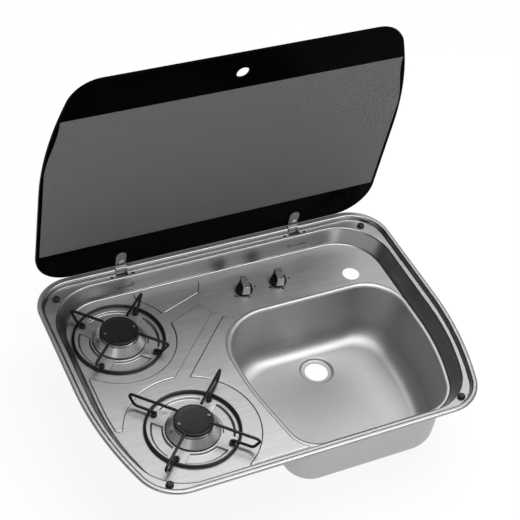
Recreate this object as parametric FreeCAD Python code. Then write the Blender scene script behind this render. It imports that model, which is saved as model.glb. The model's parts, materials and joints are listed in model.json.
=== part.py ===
import FreeCAD, Part
import math
import os

os.makedirs("parts", exist_ok=True)
Vector = FreeCAD.Vector

# Frame: X to the right, Y to the back, Z up, millimetres.
# The origin is the centre of the worktop cut-out, in the plane of the worktop.

# Top sheet in plan
UNIT_WIDTH = 600.0
UNIT_DEPTH = 445.0
SIDE_SLANT = 18.5
SIDE_STRAIGHT = 8.5
KNEE_RADIUS = 540.0
BACK_CORNER = 62.8
FRONT_CORNER = 66.0

# Top sheet in section
SHEET = 0.8
RIM_HEIGHT = 3.0
LIP_RADIUS = 2.8
LIP_INNER_RADIUS = 2.2
RIM_WIDTH = 8.0
RIM_BEND = 4.0
BACK_RIM_WIDTH = 11.0
STEP_RUN = 2.5
STEP_BEND = 1.5
LEDGE_DROP = 8.0
LEDGE_SIDE = 18.0
LEDGE_FRONT = 18.0
LEDGE_BACK = 23.0
LEDGE_BACK_CORNER = 80.0
LEDGE_KNEE = 420.0
LEDGE_FRONT_CORNER = 80.0
DECK_DROP = 34.0
FOOT_SIDE = 31.0
FOOT_FRONT = 31.0
FOOT_BACK = 32.5
FOOT_BACK_CORNER = 72.0
FOOT_KNEE = 400.0
FOOT_FRONT_CORNER = 66.0
WELL_TOP_BEND = 4.0
WELL_FOOT_BEND = 5.0
BEND_STEPS = 4

# Sink bowl
BOWL_GAP = 1.0
BOWL_FROM_BACK = 131.5
BOWL_FROM_BURNER = 107.5
BOWL_KNEE_FROM_FRONT = 166.5
BOWL_FRONT_SHIFT = 27.7
BOWL_BACK_LEFT_CORNER = 84.0
BOWL_BACK_RIGHT_CORNER = 62.0
BOWL_LEFT_KNEE = 500.0
BOWL_FRONT_LEFT_CORNER = 44.0
BOWL_TOP_BEND = 6.5
BOWL_FLOOR_BEND = 26.0
BOWL_DEPTH = 109.0
BOWL_DRAFT = 2.5
BOWL_SEAM = 0.05
FLOOR_CORNER_LOSS = 12.0
FLOOR_KNEE_LOSS = 75.0
FLOOR_LEFT_KNEE_LOSS = 200.0
DRAIN_FROM_SIDE = 179.0
DRAIN_FROM_BACK = 196.5
DRAIN_HOLE_RADIUS = 19.0
DRAIN_RECESS_RADIUS = 27.5
DRAIN_RECESS_DEPTH = 4.0
DRAIN_RECESS_DRAFT = 2.0
TAP_FROM_SIDE = 88.0
TAP_FROM_BACK = 108.5
TAP_HOLE_RADIUS = 14.0

# Hob deck
REAR_FROM_SIDE = 106.0
REAR_FROM_BACK = 122.5
FRONT_FROM_SIDE = 145.0
FRONT_FROM_FRONT = 123.5
DISH_INNER = 43.0
DISH_PAST_FOOT = 1.0
DISH_DEPTH = 3.2
DISH_INNER_DRAFT = 1.6
DISH_OUTER_DRAFT = 3.0
ARM_WIDTH = 26.0
BURNER_HOLE_RADIUS = 38.0
REAR_ZONE_RADIUS = 87.0
FRONT_ZONE_RADIUS = 99.5
PANEL_HEIGHT = 1.4
PANEL_EDGE = 5.0
PANEL_CORNER = 4.0
PANEL_SLOPE = 1.2
SINK_PANEL_CORNER = 1.6

# Lid and hinges
LID_SIDE_INSET = 12.0
LID_FRONT_INSET = 9.6
LID_BACK_INSET = 15.6
LID_BACK_CORNER = 61.0
LID_FRONT_CORNER = 52.0
LID_THICKNESS = 4.0
LID_OPEN_ANGLE = 81.1
FINGER_HOLE_RADIUS = 10.0
FINGER_HOLE_FROM_FRONT = 37.9
BUMPER_RADIUS = 5.8
BUMPER_HEIGHT = 6.0
BUMPER_EDGE = 3.6
BUMPER_CLEARANCE = 0.3
BUMPER_STEM_RADIUS = 2.2
BUMPER_STEM_LENGTH = 5.0
BUMPER_BACK_INSET = 25.0
BUMPER_FRONT_INSET = 18.4
BUMPER_FRONT_TURN = 4.7
HINGE_X = 150.0
HINGE_FROM_BACK = 7.5
HINGE_Z = -4.5
PIN_RADIUS = 2.0
PIN_PLAY = 0.05
PRESS_PLAY = 0.02
STRAP_WIDTH = 17.0
STRAP_THICKNESS = 1.5
STRAP_REACH = 33.0
STRAP_TIP_RADIUS = 8.0
STRAP_LEG_BEND = 2.6
STRAP_HOOK_BEND = 4.2
STRAP_PAD_THICKNESS = 1.0
STRAP_SCREW_REACH = 13.5
STRAP_SCREW_RADIUS = 2.4
STRAP_SCREW_HEAD_RADIUS = 4.2
STRAP_SCREW_HEAD_HEIGHT = 1.8
STRAP_CAP_RADIUS = 8.5
STRAP_CAP_HEIGHT = 3.5
SCREW_PLAY = 0.3
SLOT_SIDE_PLAY = 1.5
SLOT_FRONT_PLAY = 4.0
SLOT_BACK_PLAY = 2.5
CHEEK_THICKNESS = 1.5
CHEEK_SIDE_PLAY = 0.7
RIVET_SPACING = 27.8
RIVET_RADIUS = 1.6
RIVET_HEAD_RADIUS = 2.9
RIVET_HEAD_HEIGHT = 0.9
RIVET_DROP = 13.0
LEDGE_SCREW_SPACING = 35.4
LEDGE_SCREW_HEAD_RADIUS = 2.2

# Rim seal
SEAL_INSET = 3.0
SEAL_WIDTH = 2.8

# Burners
FLANGE_RADIUS = 40.0
FLANGE_THICKNESS = 3.4
FLANGE_UNDERCUT = 1.8
CUP_TOP_RADIUS = 30.5
CUP_HEIGHT = 13.5
CUP_WALL = 1.6
NECK_RADIUS = 24.0
NECK_LENGTH = 28.0
HEAD_RADIUS = 27.5
HEAD_HEIGHT = 4.0
HEAD_BORE = 17.0
PORT_COUNT = 28
PORT_WIDTH = 1.6
PORT_DEPTH = 2.6
CAP_RADIUS = 29.5
CAP_HEIGHT = 4.5
CAP_EDGE = 1.6
CAP_SCREW_REACH = 23.0
CAP_SCREW_RADIUS = 1.5
CAP_SCREW_HEAD_RADIUS = 2.4
CAP_SCREW_HEAD_HEIGHT = 1.2
THERMOCOUPLE_REACH = 34.0
THERMOCOUPLE_RADIUS = 2.0
THERMOCOUPLE_TIP = 13.0
THERMOCOUPLE_TAIL = 12.0
CARRIER_LENGTH = 114.0
CARRIER_WIDTH = 60.0
CARRIER_THICKNESS = 1.5
RING_NUT_RADIUS = 29.0
RING_NUT_HEIGHT = 6.0
MIXING_TUBE_RADIUS = 8.0
MIXING_TUBE_WALL = 1.0
MIXING_TUBE_LENGTH = 60.0
MIXING_TUBE_DROP = 21.0
INJECTOR_RADIUS = 5.0
INJECTOR_LENGTH = 12.0
INJECTOR_FLANGE = 6.0

# Pan supports
WIRE_RADIUS = 2.2
RING_PAST_FOOT = 8.0
RING_HEIGHT = 3.8
FOOT_REACH = 61.0
FINGER_START = 26.5
FINGER_HEIGHT = 28.5
REAR_TIP_PAST_RING = 12.5
FRONT_TIP_PAST_RING = 34.0
ELBOW_SETBACK = 11.0
WELD_DEPTH = 0.4
FOOT_BEND = 2.4
REAR_ELBOW_BEND = 4.0
REAR_TIP_BEND = 3.0
FRONT_ELBOW_BEND = 9.0
FRONT_TIP_BEND = 4.5
SLEEVE_RADIUS = 4.6
SLEEVE_HEIGHT = 5.2
PLUG_RADIUS = 3.4
PLUG_LENGTH = 3.5
PLUG_PLAY = 0.1
FOOT_WIRE_END = 2.5

# Controls and gas
KNOB_SPACING = 60.0
LEFT_KNOB_X = 30.0
KNOB_FROM_BACK = 87.5
KNOB_RADIUS = 13.8
KNOB_TOP_RADIUS = 11.8
KNOB_BASE_HEIGHT = 6.5
KNOB_LIFT = 3.6
GRIP_WIDTH = 12.6
GRIP_TOP_WIDTH = 11.2
GRIP_LENGTH = 25.0
GRIP_HEIGHT = 9.0
GRIP_ANGLE = -12.0
GRIP_SKIN = 1.2
GRIP_END_RADIUS = 14.6
STEM_RADIUS = 3.0
STEM_PLAY = 0.03
STEM_IN_KNOB = 12.0
STEM_LENGTH = 42.0
SLEEVE_PLAY = 0.05
PUSH_SLEEVE_RADIUS = 5.0
PUSH_SLEEVE_LENGTH = 17.0
PUSH_SLEEVE_GAP = 0.3
DECK_STEM_HOLE = 6.2
BRACKET_MARGIN = 22.0
BRACKET_DEPTH = 30.0
BRACKET_THICKNESS = 1.5
VALVE_WIDTH = 20.0
VALVE_DEPTH = 24.0
VALVE_HEIGHT = 36.0
VALVE_BORE_FLOOR = 4.0
VALVE_EAR_LENGTH = 36.0
VALVE_EAR_WIDTH = 12.0
VALVE_EAR_THICKNESS = 3.0
VALVE_SCREW_SPACING = 27.0
VALVE_SCREW_RADIUS = 1.5
VALVE_SCREW_HEAD_RADIUS = 2.8
VALVE_SCREW_HEAD_HEIGHT = 2.0
PORT_DROP = 22.0
RAIL_BEHIND_KNOBS = 30.0
RAIL_RADIUS = 5.0
RAIL_OVERHANG = 26.0
INLET_LENGTH = 40.0
INLET_RADIUS = 4.0
NUT_RADIUS = 6.5
NUT_LENGTH = 9.0
PIPE_RADIUS = 3.0
PIPE_BEND = 14.0
REAR_PIPE_RUN = 25.0
REAR_PIPE_END = 45.0
PIPE_LANE_OFFSET = 30.0
PIPE_SLANT = 30.0
FRONT_PIPE_END = 18.0
FRONT_PIPE_STUB = 5.0
BOWL_CLEARANCE = 14.5
LEAD_RADIUS = 1.2
LEAD_BEND = 10.0
LEAD_OFFSET = 7.0
LEAD_LANE_OFFSET = 23.0
LEAD_TURN = 16.0
LEAD_END = 14.0
LEAD_PIPE_GAP = 18.0
REAR_LEAD_DROP = 31.0
FRONT_LEAD_DROP = 35.0

# Levels
RIM_TOP = RIM_HEIGHT
LEDGE = RIM_TOP - LEDGE_DROP
LEDGE_UNDER = LEDGE - SHEET
BUMPER_TOP = LEDGE + BUMPER_HEIGHT
LID_HEIGHT = BUMPER_TOP + BUMPER_CLEARANCE
DECK = RIM_TOP - DECK_DROP
DECK_UNDER = DECK - SHEET
FLOOR = DECK - BOWL_DEPTH
SLANT = math.radians(SIDE_SLANT)

# Places in plan, measured from the edges of the unit
BACK_Y = UNIT_DEPTH / 2
FRONT_Y = -UNIT_DEPTH / 2
LEFT_X = -UNIT_WIDTH / 2
RIGHT_X = UNIT_WIDTH / 2
FRONT_CORNER_REACH = FRONT_CORNER * math.tan(math.pi / 4 - SLANT / 2)
SIDE_LENGTH = FRONT_CORNER_REACH + SIDE_STRAIGHT + KNEE_RADIUS * math.tan(SLANT / 2)
KNEE_FROM_FRONT = SIDE_LENGTH * math.cos(SLANT)
REAR_BURNER = (LEFT_X + REAR_FROM_SIDE, BACK_Y - REAR_FROM_BACK)
FRONT_BURNER = (LEFT_X + FRONT_FROM_SIDE, FRONT_Y + FRONT_FROM_FRONT)
BOWL_BACK_Y = BACK_Y - BOWL_FROM_BACK
BOWL_KNEE_Y = FRONT_Y + BOWL_KNEE_FROM_FRONT
BOWL_LEFT_X = FRONT_BURNER[0] + BOWL_FROM_BURNER
BOWL_LEFT_FRONT_X = BOWL_LEFT_X + BOWL_FRONT_SHIFT
DRAIN_X = RIGHT_X - DRAIN_FROM_SIDE
DRAIN_Y = BACK_Y - DRAIN_FROM_BACK
TAP_X = RIGHT_X - TAP_FROM_SIDE
TAP_Y = BACK_Y - TAP_FROM_BACK
KNOB_XS = (LEFT_KNOB_X, LEFT_KNOB_X + KNOB_SPACING)
KNOB_Y = BACK_Y - KNOB_FROM_BACK
RAIL_Y = KNOB_Y + RAIL_BEHIND_KNOBS
HINGE_Y = BACK_Y - HINGE_FROM_BACK
DISH_OUTER = FOOT_REACH + DISH_PAST_FOOT
RING_RADIUS = FOOT_REACH + RING_PAST_FOOT
REAR_FINGER_TIP = RING_RADIUS + REAR_TIP_PAST_RING
FRONT_FINGER_TIP = RING_RADIUS + FRONT_TIP_PAST_RING
REAR_LEAD_Z = DECK - REAR_LEAD_DROP
FRONT_LEAD_Z = DECK - FRONT_LEAD_DROP


def spot(point, z):
    """A plan point lifted to height z."""
    return Vector(point[0], point[1], z)


def unit(start, end):
    """Unit direction from one plan point to another."""
    length = math.hypot(end[0] - start[0], end[1] - start[1])
    return ((end[0] - start[0]) / length, (end[1] - start[1]) / length)


def corner_arc(before, here, after, radius):
    """Start, middle, end and centre of the arc that rounds a corner."""
    back = unit(here, before)
    ahead = unit(here, after)
    half = math.acos(max(-1.0, min(1.0, back[0] * ahead[0] + back[1] * ahead[1]))) / 2
    reach = radius / math.tan(half)
    bisector = unit((0, 0), (back[0] + ahead[0], back[1] + ahead[1]))
    centre = tuple(here[i] + bisector[i] * radius / math.sin(half) for i in (0, 1))
    start = tuple(here[i] + back[i] * reach for i in (0, 1))
    middle = tuple(centre[i] - bisector[i] * radius for i in (0, 1))
    end = tuple(here[i] + ahead[i] * reach for i in (0, 1))
    return start, middle, end, centre


def rounded_wire(outline, z):
    """Closed wire at height z round a convex outline of corners and radii."""
    points, radii = outline
    count = len(points)
    arcs = [corner_arc(points[i - 1], points[i], points[(i + 1) % count], radii[i]) for i in range(count)]
    edges = []
    for i in range(count):
        start, middle, end, centre = arcs[i]
        edges.append(Part.Arc(spot(start, z), spot(middle, z), spot(end, z)).toShape())
        edges.append(Part.LineSegment(spot(end, z), spot(arcs[(i + 1) % count][0], z)).toShape())
    return Part.Wire(edges)


def grow(outline, distance):
    """The same outline with every side moved outwards, and its corners with it."""
    points, radii = outline
    count = len(points)
    moved = []
    for i in range(count):
        along = unit(points[i - 1], points[i])
        ahead = unit(points[i], points[(i + 1) % count])
        first = (along[1], -along[0])
        second = (ahead[1], -ahead[0])
        share = distance / (1 + first[0] * second[0] + first[1] * second[1])
        moved.append(tuple(points[i][k] + (first[k] + second[k]) * share for k in (0, 1)))
    return moved, [radius + distance for radius in radii]


def blend(first, second, share):
    """An outline part of the way from one outline to another of the same corners."""
    points = [tuple(a[k] + (b[k] - a[k]) * share for k in (0, 1)) for a, b in zip(first[0], second[0])]
    radii = [a + (b - a) * share for a, b in zip(first[1], second[1])]
    return points, radii


def plan_outline(back, side, front, back_corner, knee, front_corner):
    """Outline of the unit set in from its edges: back corners, side knees, front corners."""
    half = UNIT_WIDTH / 2 - side
    back_y = BACK_Y - back
    front_y = FRONT_Y + front
    knee_y = FRONT_Y + KNEE_FROM_FRONT + side * math.tan(SLANT / 2)
    front_x = half - (knee_y - front_y) * math.tan(SLANT)
    points = [(half, back_y), (-half, back_y), (-half, knee_y)]
    points += [(-front_x, front_y), (front_x, front_y), (half, knee_y)]
    return points, [back_corner, back_corner, knee, front_corner, front_corner, knee]


def inset_outline(inset, back_extra=0.0):
    """The rim's own outline set in evenly, and further at the back."""
    radii = (BACK_CORNER - inset, KNEE_RADIUS - inset, FRONT_CORNER - inset)
    return plan_outline(inset + back_extra, inset, inset, *radii)


def section_path(points, bends):
    """Points of a bent section: straight runs with sampled arcs at the inner corners."""
    path = [points[0]]
    for i in range(1, len(points) - 1):
        start, middle, end, centre = corner_arc(points[i - 1], points[i], points[i + 1], bends[i - 1])
        first = math.atan2(start[1] - centre[1], start[0] - centre[0])
        turn = math.atan2(end[1] - centre[1], end[0] - centre[0]) - first
        turn = (turn + math.pi) % (2 * math.pi) - math.pi
        for step in range(BEND_STEPS + 1):
            angle = first + turn * step / BEND_STEPS
            reach = (bends[i - 1] * math.cos(angle), bends[i - 1] * math.sin(angle))
            path.append((centre[0] + reach[0], centre[1] + reach[1]))
    path.append(points[-1])
    return path


def loft(sections):
    """Solid through a stack of outlines, each with its height."""
    return Part.makeLoft([rounded_wire(outline, z) for outline, z in sections], True, True)


def prism(outline, low, high):
    """Upright prism of a rounded outline."""
    return Part.Face(rounded_wire(outline, low)).extrude(Vector(0, 0, high - low))


def cylinder(radius, low, high, x=0.0, y=0.0):
    """Upright cylinder between two heights."""
    return Part.makeCylinder(radius, high - low, Vector(x, y, low))


def cone(low_radius, high_radius, low, high, x=0.0, y=0.0):
    """Upright cone between two heights."""
    return Part.makeCone(low_radius, high_radius, high - low, Vector(x, y, low))


def block(x_range, y_range, z_range):
    """Box between limits along each axis."""
    size = [limits[1] - limits[0] for limits in (x_range, y_range, z_range)]
    return Part.makeBox(*size, Vector(x_range[0], y_range[0], z_range[0]))


def rod_x(radius, x_range, y, z):
    """Cylinder along X."""
    return Part.makeCylinder(radius, x_range[1] - x_range[0], Vector(x_range[0], y, z), Vector(1, 0, 0))


def rod_y(radius, y_range, x, z):
    """Cylinder along Y."""
    return Part.makeCylinder(radius, y_range[1] - y_range[0], Vector(x, y_range[0], z), Vector(0, 1, 0))


def polygon(points):
    """Closed wire through points."""
    return Part.makePolygon(list(points) + [points[0]])


def plate_yz(points, x_range):
    """Plate of a section in the Y Z plane, given thickness along X."""
    wire = polygon([Vector(x_range[0], y, z) for y, z in points])
    return Part.Face(wire).extrude(Vector(x_range[1] - x_range[0], 0, 0))


def spin(points):
    """Solid turned about Z from a closed section of radius and height."""
    face = Part.Face(polygon([Vector(r, 0, z) for r, z in points]))
    return face.revolve(Vector(0, 0, 0), Vector(0, 0, 1), 360)


def bent_path(points, bends):
    """Wire of straight runs and tangent arcs through points."""
    edges = []
    last = points[0]
    for i in range(1, len(points) - 1):
        back = (points[i - 1] - points[i]).normalize()
        ahead = (points[i + 1] - points[i]).normalize()
        half = back.getAngle(ahead) / 2
        reach = bends[i - 1] / math.tan(half)
        bisector = (back + ahead).normalize()
        start = points[i] + back * reach
        end = points[i] + ahead * reach
        middle = points[i] + bisector * (bends[i - 1] / math.sin(half) - bends[i - 1])
        if (start - last).Length > 1e-6:
            edges.append(Part.LineSegment(last, start).toShape())
        edges.append(Part.Arc(start, middle, end).toShape())
        last = end
    edges.append(Part.LineSegment(last, points[-1]).toShape())
    return Part.Wire(edges)


def tube(points, radius, bend):
    """Round bar along a bent path."""
    path = bent_path(points, [bend] * (len(points) - 2))
    profile = Part.Wire(Part.Circle(points[0], points[1] - points[0], radius).toShape())
    return path.makePipeShell([profile], True, False)


def placed(shape, x, y, z=0.0):
    """A copy moved to a place."""
    copy = shape.copy()
    copy.translate(Vector(x, y, z))
    return copy


def turned(shape, angle, centre=Vector(0, 0, 0), axis=Vector(0, 0, 1)):
    """A copy turned about an axis."""
    copy = shape.copy()
    copy.rotate(centre, axis, angle)
    return copy


def save(node, *shapes):
    """Write one node: a single solid, or a group of separate solids."""
    whole = shapes[0] if len(shapes) == 1 else Part.makeCompound(list(shapes))
    whole.exportStep("parts/" + node + ".step")
    volumes = [solid.Volume for solid in whole.Solids]
    print(node, "solids", len(volumes), "volume", round(sum(volumes), 1), "valid", whole.isValid())


# Pressed top: rim, ledge, sloped well and hob deck
ledge_radii = (LEDGE_BACK_CORNER, LEDGE_KNEE, LEDGE_FRONT_CORNER)
ledge_edge = plan_outline(LEDGE_BACK, LEDGE_SIDE, LEDGE_FRONT, *ledge_radii)
foot_radii = (FOOT_BACK_CORNER, FOOT_KNEE, FOOT_FRONT_CORNER)
well_foot = plan_outline(FOOT_BACK, FOOT_SIDE, FOOT_FRONT, *foot_radii)
BACK_RIM_EXTRA = BACK_RIM_WIDTH - RIM_WIDTH
WELL_RUN = FOOT_SIDE - LEDGE_SIDE
WELL_SHIFT = SHEET * 0.62


def rim_section(bend):
    """Lip and rim top in section: inset and height."""
    return section_path([(0, 0), (0, RIM_TOP), (RIM_WIDTH, RIM_TOP)], [bend])[:-1]


def step_section(bend):
    """Step from the rim down to the ledge in section."""
    foot = RIM_WIDTH + STEP_RUN
    corners = [(0, RIM_TOP), (RIM_WIDTH, RIM_TOP), (foot, LEDGE), (foot + RIM_WIDTH, LEDGE)]
    return section_path(corners, [bend, STEP_BEND])[1:-1]


def well_section():
    """Sloped wall from the ledge down to the deck in section."""
    corners = [(-WELL_RUN, LEDGE), (0, LEDGE), (WELL_RUN, DECK), (2 * WELL_RUN, DECK)]
    return section_path(corners, [WELL_TOP_BEND, WELL_FOOT_BEND])[1:-1]


def well_outline(run):
    """Outline of the well at a distance in from the ledge's edge."""
    return blend(ledge_edge, well_foot, run / WELL_RUN)


def sheet_blank():
    """The pressing before its holes, dishes and panels."""
    rim = loft([(inset_outline(s), z) for s, z in rim_section(LIP_RADIUS)])
    below_rim = loft([(inset_outline(s + SHEET), z - SHEET) for s, z in rim_section(LIP_INNER_RADIUS)])
    step_low = loft([(inset_outline(s - SHEET, BACK_RIM_EXTRA), z - SHEET) for s, z in step_section(STEP_BEND)])
    step_room = loft([(inset_outline(s, BACK_RIM_EXTRA), z) for s, z in step_section(RIM_BEND)])
    low = [(grow(well_outline(s), WELL_SHIFT), z - SHEET) for s, z in well_section()]
    well_low = loft([(low[0][0], LEDGE - SHEET / 2)] + low)
    room = [(well_outline(s), z) for s, z in well_section()]
    well_room = loft([(room[0][0], LEDGE + SHEET)] + room)
    return rim.cut(below_rim).fuse([step_low, well_low]).cut([step_room, well_room])


def dish(grown):
    """Trough round a burner, open at the four arms that carry the support's feet."""
    top = DECK - grown + (SHEET if grown == 0 else 0)
    bottom = DECK - DISH_DEPTH - grown
    inner = DISH_INNER - grown
    outer = DISH_OUTER + grown
    slope_in = (inner + DISH_INNER_DRAFT, bottom)
    slope_out = (outer - DISH_OUTER_DRAFT, bottom)
    ring = spin([(inner, top), slope_in, slope_out, (outer, top)])
    half = ARM_WIDTH / 2 - grown
    arm = block((-DISH_OUTER * 2, DISH_OUTER * 2), (-half, half), (bottom - SHEET, DECK + 2 * SHEET))
    return ring.cut([turned(arm, 45), turned(arm, -45)])


def panel(points):
    """Raised panel of the deck, cut back from the burner zones and the bowl."""
    low = DECK - SHEET / 2
    high = DECK + PANEL_HEIGHT
    blank = Part.Face(polygon([spot(p, low) for p in points])).extrude(Vector(0, 0, high - low))
    blank = blank.common(prism(grow(well_foot, -PANEL_EDGE), low, high))
    rear_zone = placed(turned(cylinder(REAR_ZONE_RADIUS, low, high), 130), *REAR_BURNER)
    front_zone = placed(turned(cylinder(FRONT_ZONE_RADIUS, low, high), -100), *FRONT_BURNER)
    blank = blank.cut([rear_zone, front_zone, prism(grow(bowl_top, BOWL_GAP), low, high)])
    return max(blank.Solids, key=lambda solid: solid.Volume)


def edge_turn(solid, edge):
    """Angle between the two faces that meet at an edge, in degrees."""
    place = edge.valueAt((edge.FirstParameter + edge.LastParameter) / 2)
    first, second = [f.normalAt(*f.Surface.parameter(place)) for f in solid.ancestorsOfType(edge, Part.Face)]
    return math.degrees(first.getAngle(second))


def soft_corners(solid, radius):
    """Round the upright edges of a panel, all but those that are smooth already, and slope its sides."""
    upright = [e for e in solid.Edges if abs(e.tangentAt(e.FirstParameter).z) > 0.99]
    soft = solid.makeFillet(radius, [e for e in upright if edge_turn(solid, e) > 10])
    top = [e for e in soft.Edges if e.BoundBox.ZMin > DECK + 0.9 * PANEL_HEIGHT]
    return soft.makeChamfer(PANEL_SLOPE, top)


# The bowl's outline follows the well's foot on the right and in front
gap_outline = grow(well_foot, -BOWL_GAP)
front_right = gap_outline[0][4]
right_knee = gap_outline[0][5]
bowl_points = [(right_knee[0], BOWL_BACK_Y), (BOWL_LEFT_X, BOWL_BACK_Y)]
bowl_points += [(BOWL_LEFT_X, BOWL_KNEE_Y), (BOWL_LEFT_FRONT_X, front_right[1])]
bowl_points += [front_right, right_knee]
bowl_radii = [BOWL_BACK_RIGHT_CORNER, BOWL_BACK_LEFT_CORNER, BOWL_LEFT_KNEE, BOWL_FRONT_LEFT_CORNER]
bowl_top = (bowl_points, bowl_radii + [gap_outline[1][4], gap_outline[1][5]])


def from_rear(x, y):
    """Plan point measured from the rear burner."""
    return (REAR_BURNER[0] + x, REAR_BURNER[1] + y)


def from_front(x, y):
    """Plan point measured from the front burner."""
    return (FRONT_BURNER[0] + x, FRONT_BURNER[1] + y)


# Corners of the raised panels; sides and front run past the well's foot, which trims them
PANEL_OVERRUN = 20.0
panel_left = LEFT_X + FOOT_SIDE - PANEL_OVERRUN
panel_back = BACK_Y - FOOT_BACK + PANEL_OVERRUN
panel_front = FRONT_Y + FOOT_FRONT - PANEL_OVERRUN
ISLAND = [(panel_left, from_rear(0, -5)[1]), REAR_BURNER, from_rear(86, 7), from_rear(144, 31)]
ISLAND += [from_rear(158, 8), from_front(5, 92), FRONT_BURNER, (panel_left, from_front(0, 41)[1])]
BACK_PANEL = [(from_rear(54, 0)[0], panel_back), from_rear(54, 50), from_rear(82, 28), from_rear(154, 54)]
BACK_PANEL += [from_rear(163, 74), (from_rear(163, 0)[0], panel_back)]
SINK_PANEL = [from_front(0, 60.4), (BOWL_LEFT_X + 22.2, BOWL_BACK_Y + 3)]
SINK_PANEL += [(BOWL_LEFT_X + 38, BOWL_BACK_Y - 3.2), (BOWL_LEFT_X + 49.5, BOWL_BACK_Y - 31)]
SINK_PANEL += [(BOWL_LEFT_FRONT_X + 18, panel_front), (FRONT_BURNER[0], panel_front)]

tap_hole = cylinder(TAP_HOLE_RADIUS, DECK_UNDER - SHEET, DECK + SHEET, TAP_X, TAP_Y)
foot_angles = [45, 135, 225, 315]


def foot_spots(burner):
    """Places of the four support feet round a burner."""
    places = []
    for angle in foot_angles:
        turn = math.radians(angle)
        places.append((burner[0] + FOOT_REACH * math.cos(turn), burner[1] + FOOT_REACH * math.sin(turn)))
    return places


STRAP_HALF = STRAP_WIDTH / 2
LID_BACK_Y = BACK_Y - LID_BACK_INSET
LEG_Y = LID_BACK_Y - STRAP_THICKNESS / 4
SLOT_FRONT = LEG_Y - SLOT_FRONT_PLAY
SLOT_BACK = HINGE_Y + SLOT_BACK_PLAY


def hinge_slot(x, side_play):
    """Room for a hinge strap through the ledge, the step and the rim."""
    half = STRAP_HALF + side_play
    return block((x - half, x + half), (SLOT_FRONT, SLOT_BACK), (LEDGE - 2 * SHEET, RIM_TOP + SHEET))


def wall_under(z):
    """Y of the back wall's outer face at a height."""
    slope = (FOOT_BACK - LEDGE_BACK) / (DECK_DROP - LEDGE_DROP)
    return BACK_Y - LEDGE_BACK + WELL_SHIFT - (LEDGE_UNDER - z) * slope


def wall_normal():
    """Outward direction of the back wall in Y and Z."""
    return unit((0, 0), (DECK_DROP - LEDGE_DROP, -(FOOT_BACK - LEDGE_BACK)))


RIVET_Z = LEDGE - RIVET_DROP
rivet_spots = [x + side * RIVET_SPACING / 2 for x in (-HINGE_X, HINGE_X) for side in (-1, 1)]


def along_wall_normal(radius, x, start, end):
    """Rod through the back wall, square to it, between two distances from its outer face."""
    normal = wall_normal()
    base = Vector(x, wall_under(RIVET_Z) + normal[0] * start, RIVET_Z + normal[1] * start)
    return Part.makeCylinder(radius, end - start, base, Vector(0, normal[0], normal[1]))


BUMPER_HOLE = BUMPER_STEM_RADIUS + PRESS_PLAY


def bumper_spots():
    """Places of the bumpers in the four corners of the ledge."""
    points, radii = inset_outline(0)
    back = (BUMPER_BACK_INSET, 0.0)
    front_left = (BUMPER_FRONT_INSET, BUMPER_FRONT_TURN)
    front_right = (BUMPER_FRONT_INSET, -BUMPER_FRONT_TURN)
    spots = []
    for index, (inset, turn) in ((0, back), (1, back), (3, front_left), (4, front_right)):
        radius = radii[index]
        ahead = points[(index + 1) % len(points)]
        start, middle, end, centre = corner_arc(points[index - 1], points[index], ahead, radius)
        angle = math.atan2(middle[1] - centre[1], middle[0] - centre[0]) + math.radians(turn)
        reach = radius - inset
        spots.append((centre[0] + reach * math.cos(angle), centre[1] + reach * math.sin(angle)))
    return spots


STEP_FOOT_Y = BACK_Y - BACK_RIM_WIDTH - STEP_RUN
LEDGE_SCREW_Y = STEP_FOOT_Y - 0.8 * STEP_BEND - LEDGE_SCREW_HEAD_RADIUS
LEDGE_SCREW_RADIUS = RIVET_RADIUS
ledge_screw_spots = [x + side * LEDGE_SCREW_SPACING / 2 for x in (-HINGE_X, HINGE_X) for side in (-1, 1)]


def pressed_top():
    """The whole top sheet."""
    sheet = sheet_blank()
    lower = [placed(dish(SHEET), *burner) for burner in (REAR_BURNER, FRONT_BURNER)]
    panels = [soft_corners(panel(points), PANEL_CORNER) for points in (ISLAND, BACK_PANEL)]
    panels.append(soft_corners(panel(SINK_PANEL), SINK_PANEL_CORNER))
    sheet = sheet.fuse(lower + panels)
    cuts = [placed(dish(0), *burner) for burner in (REAR_BURNER, FRONT_BURNER)]
    through = (DECK_UNDER - SHEET, DECK + 2 * PANEL_HEIGHT)
    for burner in (REAR_BURNER, FRONT_BURNER):
        cuts.append(cylinder(BURNER_HOLE_RADIUS, *through, *burner))
        cuts += [cylinder(PLUG_RADIUS + PLUG_PLAY, *through, *place) for place in foot_spots(burner)]
    cuts += [cylinder(DECK_STEM_HOLE, *through, x, KNOB_Y) for x in KNOB_XS]
    cuts += [tap_hole, prism(bowl_top, *through)]
    cuts += [hinge_slot(x, SLOT_SIDE_PLAY) for x in (-HINGE_X, HINGE_X)]
    cuts += [along_wall_normal(RIVET_RADIUS + PRESS_PLAY, x, -3 * SHEET, SHEET) for x in rivet_spots]
    ledge_through = (LEDGE_UNDER - SHEET, LEDGE + SHEET)
    cuts += [cylinder(BUMPER_HOLE, *ledge_through, *place) for place in bumper_spots()]
    screw_hole = LEDGE_SCREW_RADIUS + PRESS_PLAY
    cuts += [cylinder(screw_hole, *ledge_through, x, LEDGE_SCREW_Y) for x in ledge_screw_spots]
    return sheet.cut(cuts).removeSplitter()


save("pressed_top", pressed_top())

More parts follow.
